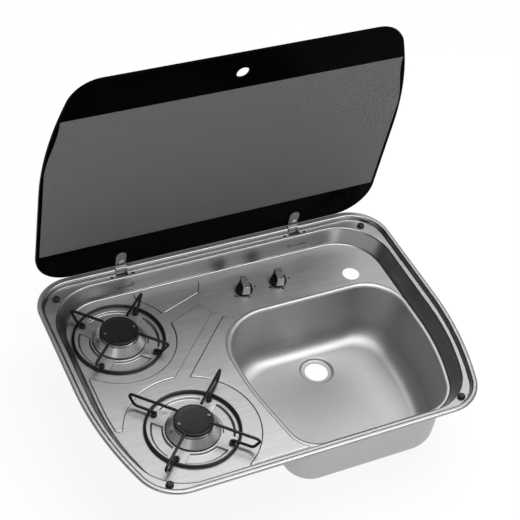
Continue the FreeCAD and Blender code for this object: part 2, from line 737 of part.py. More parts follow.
# Sink bowl, its edge let into the deck
BOWL_RUN = BOWL_TOP_BEND + (BOWL_DEPTH - BOWL_TOP_BEND) * math.tan(math.radians(BOWL_DRAFT))
FLOOR_INSET = BOWL_RUN + BOWL_FLOOR_BEND
bowl_edge = grow(bowl_top, -BOWL_SEAM)
floor_points, floor_radii = grow(bowl_edge, -FLOOR_INSET)
floor_losses = [FLOOR_CORNER_LOSS, FLOOR_CORNER_LOSS, FLOOR_LEFT_KNEE_LOSS, FLOOR_CORNER_LOSS]
floor_losses += [FLOOR_INSET - BOWL_TOP_BEND, FLOOR_KNEE_LOSS]
bowl_floor = (floor_points, [radius - loss for radius, loss in zip(bowl_edge[1], floor_losses)])


def bowl_section():
    """Bowl wall in section: distance in from its edge, and height."""
    corners = [(-FLOOR_INSET, DECK), (BOWL_TOP_BEND, DECK), (BOWL_RUN, FLOOR)]
    corners.append((BOWL_RUN + 2 * BOWL_FLOOR_BEND, FLOOR))
    return section_path(corners, [BOWL_TOP_BEND, BOWL_FLOOR_BEND])[1:-1]


def sink_bowl():
    """Bowl with its drain recess."""
    inside = [(blend(bowl_edge, bowl_floor, s / FLOOR_INSET), z) for s, z in bowl_section()]
    outside = [(grow(outline, SHEET), z - SHEET) for outline, z in inside]
    shell = loft([(outside[0][0], DECK)] + outside).cut(loft([(inside[0][0], DECK + SHEET)] + inside))
    shell = shell.common(prism(bowl_edge, FLOOR - SHEET - BOWL_SEAM, DECK))
    low = FLOOR - DRAIN_RECESS_DEPTH
    narrow = DRAIN_RECESS_RADIUS - DRAIN_RECESS_DRAFT
    cup = cone(narrow + SHEET, DRAIN_RECESS_RADIUS + SHEET, low - SHEET, FLOOR - SHEET / 2, DRAIN_X, DRAIN_Y)
    room = cone(narrow, DRAIN_RECESS_RADIUS, low, FLOOR, DRAIN_X, DRAIN_Y)
    mouth = cylinder(DRAIN_RECESS_RADIUS, FLOOR, FLOOR + SHEET, DRAIN_X, DRAIN_Y)
    hole = cylinder(DRAIN_HOLE_RADIUS, low - 2 * SHEET, FLOOR, DRAIN_X, DRAIN_Y)
    return shell.fuse(cup).cut([room, mouth, hole]).removeSplitter()


save("sink_bowl", sink_bowl())

# Rim seal between the rim and the worktop, open at the hinges
seal_high = RIM_TOP - SHEET
seal_room = prism(inset_outline(SEAL_INSET + SEAL_WIDTH), 0, seal_high)
rim_seal = prism(inset_outline(SEAL_INSET), 0, seal_high).cut(seal_room)
SEAL_GAP_HALF = STRAP_HALF + SLOT_SIDE_PLAY + 2 * CHEEK_THICKNESS
seal_gaps = []
for x in (-HINGE_X, HINGE_X):
    seal_gaps.append(block((x - SEAL_GAP_HALF, x + SEAL_GAP_HALF), (SLOT_FRONT, BACK_Y), (0, seal_high)))
save("rim_seal", *rim_seal.cut(seal_gaps).Solids)

# Bumpers under the closed lid
bumper = cylinder(BUMPER_RADIUS, LEDGE, BUMPER_TOP)
bumper_edge = [e for e in bumper.Edges if e.CenterOfMass.z > BUMPER_TOP - BUMPER_EDGE]
bumper = bumper.makeFillet(BUMPER_EDGE, bumper_edge)
bumper = bumper.fuse(cylinder(BUMPER_STEM_RADIUS, LEDGE - BUMPER_STEM_LENGTH, LEDGE)).removeSplitter()
save("lid_bumpers", *[placed(bumper, *place) for place in bumper_spots()])

# Lid pieces are drawn closed and then opened about the hinge axis
hinge_centre = Vector(0, HINGE_Y, HINGE_Z)


def opened(shape):
    """A lid piece turned from closed to open."""
    return turned(shape, -LID_OPEN_ANGLE, hinge_centre, Vector(1, 0, 0))


lid_radii = (LID_BACK_CORNER, KNEE_RADIUS - LID_SIDE_INSET, LID_FRONT_CORNER)
lid_outline = plan_outline(LID_BACK_INSET, LID_SIDE_INSET, LID_FRONT_INSET, *lid_radii)
lid_top = LID_HEIGHT + LID_THICKNESS
screw_y = LID_BACK_Y - STRAP_SCREW_REACH
glass = prism(lid_outline, LID_HEIGHT, lid_top)
finger_y = FRONT_Y + LID_FRONT_INSET + FINGER_HOLE_FROM_FRONT
glass_holes = [cylinder(FINGER_HOLE_RADIUS, LID_HEIGHT - 1, lid_top + 1, 0, finger_y)]
for x in (-HINGE_X, HINGE_X):
    glass_holes.append(cylinder(STRAP_SCREW_RADIUS + SCREW_PLAY, LID_HEIGHT - 1, lid_top + 1, x, screw_y))
save("lid_glass", opened(glass.cut(glass_holes)))

# Hinge straps: a tongue on the glass, a leg over the rim and an eye on the pin
EYE_BORE = PIN_RADIUS + PIN_PLAY
EYE_RADIUS = EYE_BORE + STRAP_THICKNESS + PIN_PLAY * 9
tongue_z = LID_HEIGHT - STRAP_PAD_THICKNESS - STRAP_THICKNESS / 2
strap_tip = LID_BACK_Y - STRAP_REACH
hook_z = HINGE_Z - EYE_RADIUS + STRAP_THICKNESS / 2


def tongue_plan(low, high, back):
    """Prism of the strap's tongue in plan, round at its tip."""
    points = [(STRAP_HALF, back), (-STRAP_HALF, back), (-STRAP_HALF, strap_tip), (STRAP_HALF, strap_tip)]
    return prism((points, [0.2, 0.2, STRAP_TIP_RADIUS, STRAP_TIP_RADIUS]), low, high)


def hinge_strap():
    """One strap at x = 0, closed."""
    corners = [Vector(0, strap_tip, tongue_z), Vector(0, LEG_Y, tongue_z), Vector(0, LEG_Y, hook_z)]
    path = bent_path(corners + [Vector(0, HINGE_Y, hook_z)], [STRAP_LEG_BEND, STRAP_HOOK_BEND])
    half = STRAP_THICKNESS / 2
    section = [(-STRAP_HALF, -half), (STRAP_HALF, -half), (STRAP_HALF, half), (-STRAP_HALF, half)]
    profile = polygon([Vector(x, strap_tip, tongue_z + z) for x, z in section])
    band = path.makePipeShell([profile], True, False)
    band = band.common(tongue_plan(hook_z - STRAP_THICKNESS, LID_HEIGHT, HINGE_Y + STRAP_HALF))
    eye = rod_x(EYE_RADIUS, (-STRAP_HALF, STRAP_HALF), HINGE_Y, HINGE_Z)
    bore = rod_x(EYE_BORE, (-STRAP_WIDTH, STRAP_WIDTH), HINGE_Y, HINGE_Z)
    hole = cylinder(STRAP_SCREW_RADIUS + SCREW_PLAY, tongue_z - STRAP_THICKNESS, LID_HEIGHT, 0, screw_y)
    return band.fuse(eye).cut([bore, hole]).removeSplitter()


def strap_pad():
    """Pad between strap and glass."""
    back = LID_BACK_Y - STRAP_LEG_BEND - STRAP_THICKNESS
    pad = tongue_plan(LID_HEIGHT - STRAP_PAD_THICKNESS, LID_HEIGHT, back)
    return pad.cut(cylinder(STRAP_SCREW_RADIUS + SCREW_PLAY, LID_HEIGHT - 2, LID_HEIGHT + 1, 0, screw_y))


def strap_screw():
    """Screw through strap, pad and glass into the cap outside."""
    seat = tongue_z - STRAP_THICKNESS / 2
    head = cylinder(STRAP_SCREW_HEAD_RADIUS, seat - STRAP_SCREW_HEAD_HEIGHT, seat, 0, screw_y)
    shank = cylinder(STRAP_SCREW_RADIUS, seat, lid_top + STRAP_CAP_HEIGHT / 2, 0, screw_y)
    slot_half = STRAP_SCREW_HEAD_HEIGHT / 4
    slot_y = (screw_y - slot_half, screw_y + slot_half)
    slot_z = (seat - STRAP_SCREW_HEAD_HEIGHT, seat - STRAP_SCREW_HEAD_HEIGHT / 2)
    slot = block((-STRAP_SCREW_HEAD_RADIUS, STRAP_SCREW_HEAD_RADIUS), slot_y, slot_z)
    return head.cut(slot).fuse(shank).removeSplitter()


def strap_cap():
    """Round cap nut on the outside of the glass."""
    cap = cylinder(STRAP_CAP_RADIUS, lid_top, lid_top + STRAP_CAP_HEIGHT, 0, screw_y)
    middle = lid_top + STRAP_CAP_HEIGHT / 2
    cap = cap.makeFillet(STRAP_CAP_HEIGHT / 2, [e for e in cap.Edges if e.CenterOfMass.z > middle])
    return cap.cut(cylinder(STRAP_SCREW_RADIUS + PRESS_PLAY, lid_top, middle, 0, screw_y))


SIDES = (("left", -HINGE_X), ("right", HINGE_X))
for side, x in SIDES:
    save("hinge_strap_" + side, opened(placed(hinge_strap(), x, 0)))
save("strap_pads", *[opened(placed(strap_pad(), x, 0)) for side, x in SIDES])
save("strap_screws", *[opened(placed(strap_screw(), x, 0)) for side, x in SIDES])
save("strap_caps", *[opened(placed(strap_cap(), x, 0)) for side, x in SIDES])

# Hinge brackets under the rim, with their pins and fixings
CHEEK_INNER = STRAP_HALF + CHEEK_SIDE_PLAY
CHEEK_OUTER = CHEEK_INNER + CHEEK_THICKNESS
FLANGE_HALF = RIVET_SPACING / 2 + 2 * RIVET_HEAD_RADIUS
TAB_HALF = LEDGE_SCREW_SPACING / 2 + 2 * LEDGE_SCREW_RADIUS
STEP_BACK = BACK_Y - BACK_RIM_WIDTH + 2 * SHEET
FLANGE_TOP_Z = RIVET_Z + 2 * RIVET_HEAD_RADIUS
FLANGE_LOW_Z = RIVET_Z - 2 * RIVET_HEAD_RADIUS
CHEEK_TOP = HINGE_Z + EYE_RADIUS - SHEET / 2
CHEEK_LOW = HINGE_Z - EYE_RADIUS - 2 * CHEEK_THICKNESS
CHEEK_BACK = HINGE_Y + EYE_RADIUS + CHEEK_SIDE_PLAY + CHEEK_THICKNESS
TAB_FRONT = wall_under(LEDGE_UNDER) + 0.8 * WELL_TOP_BEND
TAB_BACK = STEP_BACK - 2 * SHEET


def hinge_bracket():
    """Two cheeks on a flange behind the wall, closed below and behind, with tabs under the ledge."""
    normal = wall_normal()
    skin = (normal[0] * CHEEK_THICKNESS, normal[1] * CHEEK_THICKNESS)
    high = (wall_under(FLANGE_TOP_Z), FLANGE_TOP_Z)
    low = (wall_under(FLANGE_LOW_Z), FLANGE_LOW_Z)
    high_back = (high[0] + skin[0], high[1] + skin[1])
    low_back = (low[0] + skin[0], low[1] + skin[1])
    flange = plate_yz([high, low, low_back, high_back], (-FLANGE_HALF, FLANGE_HALF))
    cheek_points = [(STEP_BACK, CHEEK_TOP), (CHEEK_BACK, CHEEK_TOP), (CHEEK_BACK, CHEEK_LOW)]
    cheek_points += [low_back, high_back, (TAB_FRONT, LEDGE_UNDER), (STEP_BACK, LEDGE_UNDER)]
    across = (-CHEEK_OUTER, CHEEK_OUTER)
    web = block(across, (TAB_FRONT, CHEEK_BACK), (CHEEK_LOW, CHEEK_LOW + CHEEK_THICKNESS))
    pieces = [web, block(across, (CHEEK_BACK - CHEEK_THICKNESS, CHEEK_BACK), (CHEEK_LOW, CHEEK_TOP))]
    for side in (-1, 1):
        span = sorted((side * CHEEK_INNER, side * CHEEK_OUTER))
        pieces.append(plate_yz(cheek_points, span))
        tab_span = sorted((side * CHEEK_INNER, side * TAB_HALF))
        pieces.append(block(tab_span, (TAB_FRONT, TAB_BACK), (LEDGE_UNDER - CHEEK_THICKNESS, LEDGE_UNDER)))
    bracket = flange.fuse(pieces)
    cuts = [rod_x(PIN_RADIUS + PRESS_PLAY, (-TAB_HALF, TAB_HALF), HINGE_Y, HINGE_Z)]
    rivet_hole = RIVET_RADIUS + PRESS_PLAY
    screw_hole = LEDGE_SCREW_RADIUS + PRESS_PLAY
    below_tab = LEDGE_UNDER - 2 * CHEEK_THICKNESS
    for side in (-1, 1):
        cuts.append(along_wall_normal(rivet_hole, side * RIVET_SPACING / 2, -SHEET, 2 * CHEEK_THICKNESS))
        x = side * LEDGE_SCREW_SPACING / 2
        cuts.append(cylinder(screw_hole, below_tab, LEDGE, x, LEDGE_SCREW_Y))
    return bracket.cut(cuts).removeSplitter()


PIN_HALF = CHEEK_OUTER + CHEEK_THICKNESS
for side, x in SIDES:
    save("hinge_bracket_" + side, placed(hinge_bracket(), x, 0))
save("hinge_pins", *[rod_x(PIN_RADIUS, (x - PIN_HALF, x + PIN_HALF), HINGE_Y, HINGE_Z) for side, x in SIDES])


def rivet(x):
    """Rivet through the back wall and the bracket's flange."""
    inside = -SHEET
    outside = CHEEK_THICKNESS
    shank = along_wall_normal(RIVET_RADIUS, x, inside, outside)
    inner_head = along_wall_normal(RIVET_HEAD_RADIUS, x, inside - RIVET_HEAD_HEIGHT, inside)
    outer_head = along_wall_normal(RIVET_HEAD_RADIUS, x, outside, outside + RIVET_HEAD_HEIGHT)
    return shank.fuse([inner_head, outer_head]).removeSplitter()


def ledge_screw(x):
    """Small dark screw through the ledge into the bracket's tab."""
    head = cylinder(LEDGE_SCREW_HEAD_RADIUS, LEDGE, LEDGE + RIVET_HEAD_HEIGHT, x, LEDGE_SCREW_Y)
    low = LEDGE_UNDER - 2 * CHEEK_THICKNESS
    return head.fuse(cylinder(LEDGE_SCREW_RADIUS, low, LEDGE, x, LEDGE_SCREW_Y)).removeSplitter()


save("hinge_rivets", *[rivet(x) for x in rivet_spots])
save("ledge_screws", *[ledge_screw(x) for x in ledge_screw_spots])

# Burners, drawn at the origin of their dish
cup_low = DECK + FLANGE_THICKNESS
cup_high = DECK + CUP_HEIGHT
neck_low = DECK - NECK_LENGTH
head_high = cup_high + HEAD_HEIGHT
cap_high = head_high + CAP_HEIGHT
tube_z = DECK - MIXING_TUBE_DROP
carrier_high = DECK_UNDER - DISH_DEPTH
carrier_low = carrier_high - CARRIER_THICKNESS
nut_low = carrier_low - RING_NUT_HEIGHT


def burner_body():
    """Cast cup with its flange on the deck and a hollow neck below."""
    throat = NECK_RADIUS - 2 * CUP_WALL
    outer = [(0, neck_low), (NECK_RADIUS, neck_low), (NECK_RADIUS, DECK)]
    outer += [(FLANGE_RADIUS - FLANGE_UNDERCUT, DECK), (FLANGE_RADIUS, DECK + FLANGE_UNDERCUT)]
    outer += [(FLANGE_RADIUS, cup_low), (CUP_TOP_RADIUS, cup_high), (0, cup_high)]
    room = [(0, neck_low + CUP_WALL), (throat, neck_low + CUP_WALL), (throat, DECK)]
    room += [(HEAD_BORE + CUP_WALL, cup_high), (0, cup_high)]
    hollow = spin(room)
    port = rod_x(MIXING_TUBE_RADIUS + PRESS_PLAY, (0, 2 * NECK_RADIUS), 0, tube_z)
    probe = cylinder(THERMOCOUPLE_RADIUS + PRESS_PLAY, neck_low, cap_high, -THERMOCOUPLE_REACH, 0)
    return spin(outer).cut([hollow, port, probe]).removeSplitter()


def cap_screw_holes(low, high):
    """Holes for the two screws of a cap."""
    radius = CAP_SCREW_RADIUS + PRESS_PLAY
    return [cylinder(radius, low, high, side * CAP_SCREW_REACH, 0) for side in (-1, 1)]


def burner_head():
    """Flame ring with slotted ports."""
    ring = cylinder(HEAD_RADIUS, cup_high, head_high).cut(cylinder(HEAD_BORE, cup_high, head_high))
    top = cup_high + PORT_DEPTH
    slot = block((HEAD_BORE - 1, HEAD_RADIUS + 1), (-PORT_WIDTH / 2, PORT_WIDTH / 2), (top, head_high))
    turns = [360 * (i + 0.5) / PORT_COUNT for i in range(PORT_COUNT)]
    return ring.cut([turned(slot, angle) for angle in turns] + cap_screw_holes(cup_high, head_high))


def burner_cap():
    """Enamelled cap with a rounded edge."""
    cap = cylinder(CAP_RADIUS, head_high, cap_high)
    cap = cap.makeFillet(CAP_EDGE, [e for e in cap.Edges if e.CenterOfMass.z > cap_high - CAP_EDGE])
    return cap.cut(cap_screw_holes(head_high, cap_high))


def cap_screw(side):
    """Screw through the cap into the flame ring."""
    x = side * CAP_SCREW_REACH
    shank = cylinder(CAP_SCREW_RADIUS, cup_high + PORT_DEPTH, cap_high, x, 0)
    head = cylinder(CAP_SCREW_HEAD_RADIUS, cap_high, cap_high + CAP_SCREW_HEAD_HEIGHT, x, 0)
    return shank.fuse(head).removeSplitter()


def thermocouple():
    """Probe beside the flame ring."""
    low = DECK - THERMOCOUPLE_TAIL
    return cylinder(THERMOCOUPLE_RADIUS, low, DECK + THERMOCOUPLE_TIP, -THERMOCOUPLE_REACH, 0)


def burner_carrier():
    """Plate under the dish that the burner's neck hangs in."""
    half = CARRIER_LENGTH / 2
    width = CARRIER_WIDTH / 2
    plate = block((-half, half), (-width, width), (carrier_low, carrier_high))
    probe_room = cylinder(2 * THERMOCOUPLE_RADIUS, carrier_low, carrier_high, -THERMOCOUPLE_REACH, 0)
    return plate.cut([cylinder(NECK_RADIUS + SCREW_PLAY, carrier_low, carrier_high), probe_room])


def ring_nut():
    """Nut that draws the neck down on its carrier."""
    nut = cylinder(RING_NUT_RADIUS, nut_low, carrier_low)
    return nut.cut(cylinder(NECK_RADIUS + PRESS_PLAY, nut_low, carrier_low))


TUBE_START = NECK_RADIUS - CUP_WALL
TUBE_END = TUBE_START + MIXING_TUBE_LENGTH
TUBE_BORE = MIXING_TUBE_RADIUS - MIXING_TUBE_WALL
INJECTOR_END = TUBE_END + INJECTOR_FLANGE


def mixing_tube():
    """Tube that mixes gas and air, with two air windows by the injector."""
    span = (TUBE_START, TUBE_END)
    wall = rod_x(MIXING_TUBE_RADIUS, span, 0, tube_z).cut(rod_x(TUBE_BORE, span, 0, tube_z))
    middle = TUBE_END - INJECTOR_LENGTH - TUBE_BORE
    half = MIXING_TUBE_RADIUS / 2
    along = (middle - TUBE_BORE, middle + TUBE_BORE)
    return wall.cut(block(along, (-2 * half, 2 * half), (tube_z - half / 2, tube_z + half / 2)))


def injector():
    """Brass jet in the mouth of the mixing tube."""
    jet = rod_x(INJECTOR_RADIUS, (TUBE_END - INJECTOR_LENGTH, TUBE_END), 0, tube_z)
    collar = rod_x(TUBE_BORE - PRESS_PLAY, (TUBE_END - INJECTOR_LENGTH / 3, TUBE_END), 0, tube_z)
    flange = rod_x(MIXING_TUBE_RADIUS, (TUBE_END, INJECTOR_END), 0, tube_z)
    bore = rod_x(PIPE_RADIUS - 1, (TUBE_END - INJECTOR_LENGTH, INJECTOR_END), 0, tube_z)
    return jet.fuse([collar, flange]).cut(bore).removeSplitter()


BURNERS = (("rear", REAR_BURNER), ("front", FRONT_BURNER))
for name, burner in BURNERS:
    save(name + "_burner_body", placed(burner_body(), *burner))
    save(name + "_burner_head", placed(burner_head(), *burner))
    save(name + "_burner_cap", placed(burner_cap(), *burner))
    save(name + "_thermocouple", placed(thermocouple(), *burner))
    save(name + "_burner_carrier", placed(burner_carrier(), *burner))
    save(name + "_ring_nut", placed(ring_nut(), *burner))
    save(name + "_mixing_tube", placed(mixing_tube(), *burner))
    save(name + "_injector", placed(injector(), *burner))
save("cap_screws", *[placed(cap_screw(side), *burner) for name, burner in BURNERS for side in (-1, 1)])

# Pan supports: a wire ring, four bent fingers on it and sleeves on their feet
ring_z = DECK + RING_HEIGHT
finger_z = DECK + FINGER_HEIGHT
crossing_z = ring_z + 2 * WIRE_RADIUS - WELD_DEPTH
foot_low = DECK - FOOT_WIRE_END


def finger(tip, elbow_bend, tip_bend):
    """One finger along X: up from its foot, out over the ring, back in at the top."""
    flat = [(FOOT_REACH, foot_low), (FOOT_REACH, crossing_z), (tip - ELBOW_SETBACK, crossing_z)]
    points = [Vector(r, 0, z) for r, z in flat + [(tip, finger_z), (FINGER_START, finger_z)]]
    path = bent_path(points, [FOOT_BEND, elbow_bend, tip_bend])
    profile = Part.Wire(Part.Circle(points[0], points[1] - points[0], WIRE_RADIUS).toShape())
    bar = path.makePipeShell([profile], True, False)
    return bar.fuse(Part.makeSphere(WIRE_RADIUS, points[-1])).removeSplitter()


def foot_sleeve():
    """Rubber sleeve on a foot, plugged into the deck."""
    body = cylinder(SLEEVE_RADIUS, DECK, DECK + SLEEVE_HEIGHT, FOOT_REACH, 0)
    plug = cylinder(PLUG_RADIUS, DECK - PLUG_LENGTH, DECK, FOOT_REACH, 0)
    bore = cylinder(WIRE_RADIUS + PRESS_PLAY, foot_low, DECK + SLEEVE_HEIGHT, FOOT_REACH, 0)
    return body.fuse(plug).cut(bore).removeSplitter()


rear_finger = finger(REAR_FINGER_TIP, REAR_ELBOW_BEND, REAR_TIP_BEND)
front_finger = finger(FRONT_FINGER_TIP, FRONT_ELBOW_BEND, FRONT_TIP_BEND)
for name, burner, wire in (("rear", REAR_BURNER, rear_finger), ("front", FRONT_BURNER, front_finger)):
    save(name + "_support_ring", Part.makeTorus(RING_RADIUS, WIRE_RADIUS, Vector(*burner, ring_z)))
    save(name + "_support_fingers", *[placed(turned(wire, angle), *burner) for angle in foot_angles])
    save(name + "_support_feet", *[placed(turned(foot_sleeve(), angle), *burner) for angle in foot_angles])

# Knobs, drawn on their own axis
knob_low = DECK + KNOB_LIFT
knob_high = knob_low + KNOB_BASE_HEIGHT
grip_low = knob_low + GRIP_SKIN
grip_high = knob_high + GRIP_HEIGHT
stem_high = knob_low + STEM_IN_KNOB
sleeve_high = knob_low - PUSH_SLEEVE_GAP
sleeve_low = sleeve_high - PUSH_SLEEVE_LENGTH


def grip_bar(width, top_width, y_range, low, high):
    """Tapered bar across the knob."""
    half = width / 2
    top = top_width / 2
    section = [Vector(-half, y_range[0], low), Vector(half, y_range[0], low)]
    section += [Vector(top, y_range[0], high), Vector(-top, y_range[0], high)]
    bar = Part.Face(polygon(section)).extrude(Vector(0, y_range[1] - y_range[0], 0))
    return bar.common(cylinder(GRIP_END_RADIUS, low, high))


GRIP_SPAN = (-GRIP_LENGTH / 2, GRIP_LENGTH / 2)
SKIN_SPAN = (GRIP_SPAN[0] - GRIP_SKIN, GRIP_SPAN[1])
SKIN_TOP_WIDTH = GRIP_TOP_WIDTH - (GRIP_WIDTH - GRIP_TOP_WIDTH) * GRIP_SKIN / (grip_high - grip_low)


def grip_core():
    """Black bar of the grip."""
    return grip_bar(GRIP_WIDTH, GRIP_TOP_WIDTH, GRIP_SPAN, grip_low, grip_high)


def grip_skin():
    """Bright inlay over the top and the front end of the grip."""
    skin = grip_bar(GRIP_WIDTH, SKIN_TOP_WIDTH, SKIN_SPAN, grip_low, grip_high + GRIP_SKIN)
    return turned(skin.cut(grip_core()), GRIP_ANGLE)


def knob():
    """Black knob with its grip bar and the stem's blind hole."""
    base = cone(KNOB_RADIUS, KNOB_TOP_RADIUS, knob_low, knob_high)
    whole = base.fuse(turned(grip_core(), GRIP_ANGLE)).cut(grip_skin())
    return whole.cut(cylinder(STEM_RADIUS + PRESS_PLAY, knob_low, stem_high)).removeSplitter()


def push_sleeve():
    """Guide that is pushed down with the knob but does not turn."""
    bore = cylinder(STEM_RADIUS + STEM_PLAY, sleeve_low, sleeve_high)
    return cylinder(PUSH_SLEEVE_RADIUS, sleeve_low, sleeve_high).cut(bore)


# Gas valves under the deck
bracket_low = DECK_UNDER - BRACKET_THICKNESS
valve_low = bracket_low - VALVE_HEIGHT
ear_low = bracket_low - VALVE_EAR_THICKNESS
port_z = bracket_low - PORT_DROP


def gas_valve():
    """Brass valve body with a bore for the stem and a screwed flange."""
    depth = (-VALVE_DEPTH / 2, VALVE_DEPTH / 2)
    body = block((-VALVE_WIDTH / 2, VALVE_WIDTH / 2), depth, (valve_low, bracket_low))
    half = VALVE_EAR_LENGTH / 2
    ears = block((-half, half), (-VALVE_EAR_WIDTH / 2, VALVE_EAR_WIDTH / 2), (ear_low, bracket_low))
    cuts = [cylinder(PUSH_SLEEVE_RADIUS + SLEEVE_PLAY, valve_low + VALVE_BORE_FLOOR, bracket_low)]
    for side in (-1, 1):
        x = side * VALVE_SCREW_SPACING / 2
        cuts.append(cylinder(VALVE_SCREW_RADIUS + PRESS_PLAY, ear_low, bracket_low, x, 0))
    return body.fuse(ears).cut(cuts).removeSplitter()


def valve_screw(x):
    """Screw from below through a valve's ear into the bracket."""
    head = cylinder(VALVE_SCREW_HEAD_RADIUS, ear_low - VALVE_SCREW_HEAD_HEIGHT, ear_low, x, KNOB_Y)
    return head.fuse(cylinder(VALVE_SCREW_RADIUS, ear_low, DECK_UNDER, x, KNOB_Y)).removeSplitter()


valve_screw_spots = [x + side * VALVE_SCREW_SPACING / 2 for x in KNOB_XS for side in (-1, 1)]
bracket_span = (KNOB_XS[0] - BRACKET_MARGIN, KNOB_XS[1] + BRACKET_MARGIN)
bracket_depth = (KNOB_Y - BRACKET_DEPTH / 2, KNOB_Y + BRACKET_DEPTH / 2)
valve_bracket = block(bracket_span, bracket_depth, (bracket_low, DECK_UNDER))
bracket_holes = [cylinder(DECK_STEM_HOLE, bracket_low, DECK_UNDER, x, KNOB_Y) for x in KNOB_XS]
valve_screw_hole = VALVE_SCREW_RADIUS + PRESS_PLAY
bracket_holes += [cylinder(valve_screw_hole, bracket_low, DECK_UNDER, x, KNOB_Y) for x in valve_screw_spots]
save("valve_bracket", valve_bracket.cut(bracket_holes))
save("valve_screws", *[valve_screw(x) for x in valve_screw_spots])

for side, x in zip(("left", "right"), KNOB_XS):
    save("knob_" + side, placed(knob(), x, KNOB_Y))
    save("knob_inlay_" + side, placed(grip_skin(), x, KNOB_Y))
    save("valve_stem_" + side, cylinder(STEM_RADIUS, stem_high - STEM_LENGTH, stem_high, x, KNOB_Y))
    save("push_sleeve_" + side, placed(push_sleeve(), x, KNOB_Y))
    save("gas_valve_" + side, placed(gas_valve(), x, KNOB_Y))

# Gas rail behind the valves, with the inlet at its right end
valve_back = KNOB_Y + VALVE_DEPTH / 2
rail_span = (KNOB_XS[0] - RAIL_OVERHANG, KNOB_XS[1] + RAIL_OVERHANG)
rail = rod_x(RAIL_RADIUS, rail_span, RAIL_Y, port_z)
stubs = [rod_y(RAIL_RADIUS - 1, (valve_back, RAIL_Y), x, port_z) for x in KNOB_XS]
save("gas_rail", rail.fuse(stubs).removeSplitter())
inlet_end = rail_span[1] + NUT_LENGTH + INLET_LENGTH
save("inlet_nut", rod_x(NUT_RADIUS, (rail_span[1], rail_span[1] + NUT_LENGTH), RAIL_Y, port_z))
save("gas_inlet", rod_x(INLET_RADIUS, (rail_span[1] + NUT_LENGTH, inlet_end), RAIL_Y, port_z))

# Pipes from the valves to the injectors
left_port_x = KNOB_XS[0] - VALVE_WIDTH / 2
right_port_y = KNOB_Y - VALVE_DEPTH / 2
rear_start = REAR_BURNER[0] + INJECTOR_END
front_start = FRONT_BURNER[0] + INJECTOR_END
turn_x = BOWL_LEFT_X - BOWL_CLEARANCE
lane_y = KNOB_Y - PIPE_LANE_OFFSET
rear_pipe = [Vector(rear_start, REAR_BURNER[1], tube_z)]
rear_pipe += [Vector(rear_start + REAR_PIPE_RUN, REAR_BURNER[1], tube_z)]
rear_pipe += [Vector(left_port_x - REAR_PIPE_END, KNOB_Y, port_z), Vector(left_port_x, KNOB_Y, port_z)]
front_pipe = [Vector(front_start, FRONT_BURNER[1], tube_z), Vector(turn_x, FRONT_BURNER[1], tube_z)]
front_pipe += [Vector(turn_x, lane_y - PIPE_SLANT, port_z), Vector(turn_x + PIPE_SLANT, lane_y, port_z)]
front_pipe += [Vector(KNOB_XS[1] - FRONT_PIPE_END, lane_y, port_z)]
front_pipe += [Vector(KNOB_XS[1], right_port_y - FRONT_PIPE_STUB, port_z)]
front_pipe += [Vector(KNOB_XS[1], right_port_y, port_z)]
save("rear_gas_pipe", tube(rear_pipe, PIPE_RADIUS, PIPE_BEND))
save("front_gas_pipe", tube(front_pipe, PIPE_RADIUS, PIPE_BEND / 4))

# Thin leads from the thermocouples to the valves
lead_start_z = DECK - THERMOCOUPLE_TAIL
rear_probe_x = REAR_BURNER[0] - THERMOCOUPLE_REACH
front_probe_x = FRONT_BURNER[0] - THERMOCOUPLE_REACH
rear_lead_y = KNOB_Y + LEAD_OFFSET
front_lead_y = KNOB_Y - LEAD_OFFSET
lead_lane_y = KNOB_Y - LEAD_LANE_OFFSET
right_side_x = KNOB_XS[1] - VALVE_WIDTH / 2
middle_y = (REAR_BURNER[1] + FRONT_BURNER[1]) / 2 + PIPE_LANE_OFFSET
rear_lead = [Vector(rear_probe_x, REAR_BURNER[1], lead_start_z)]
rear_lead += [Vector(rear_probe_x, REAR_BURNER[1], REAR_LEAD_Z)]
rear_lead += [Vector(rear_probe_x, rear_lead_y, REAR_LEAD_Z), Vector(left_port_x, rear_lead_y, REAR_LEAD_Z)]
front_lead = [Vector(front_probe_x, FRONT_BURNER[1], lead_start_z)]
front_lead += [Vector(front_probe_x, FRONT_BURNER[1], FRONT_LEAD_Z)]
front_lead += [Vector(front_probe_x, middle_y, FRONT_LEAD_Z)]
front_lead += [Vector(turn_x - LEAD_PIPE_GAP, lead_lane_y, FRONT_LEAD_Z)]
front_lead += [Vector(right_side_x - LEAD_END - LEAD_TURN, lead_lane_y, FRONT_LEAD_Z)]
front_lead += [Vector(right_side_x - LEAD_END, front_lead_y, FRONT_LEAD_Z)]
front_lead += [Vector(right_side_x, front_lead_y, FRONT_LEAD_Z)]
save("rear_lead", tube(rear_lead, LEAD_RADIUS, LEAD_BEND))
save("front_lead", tube(front_lead, LEAD_RADIUS, LEAD_BEND))
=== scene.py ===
import json
import math

import bmesh
import bpy
from mathutils import Matrix, Vector


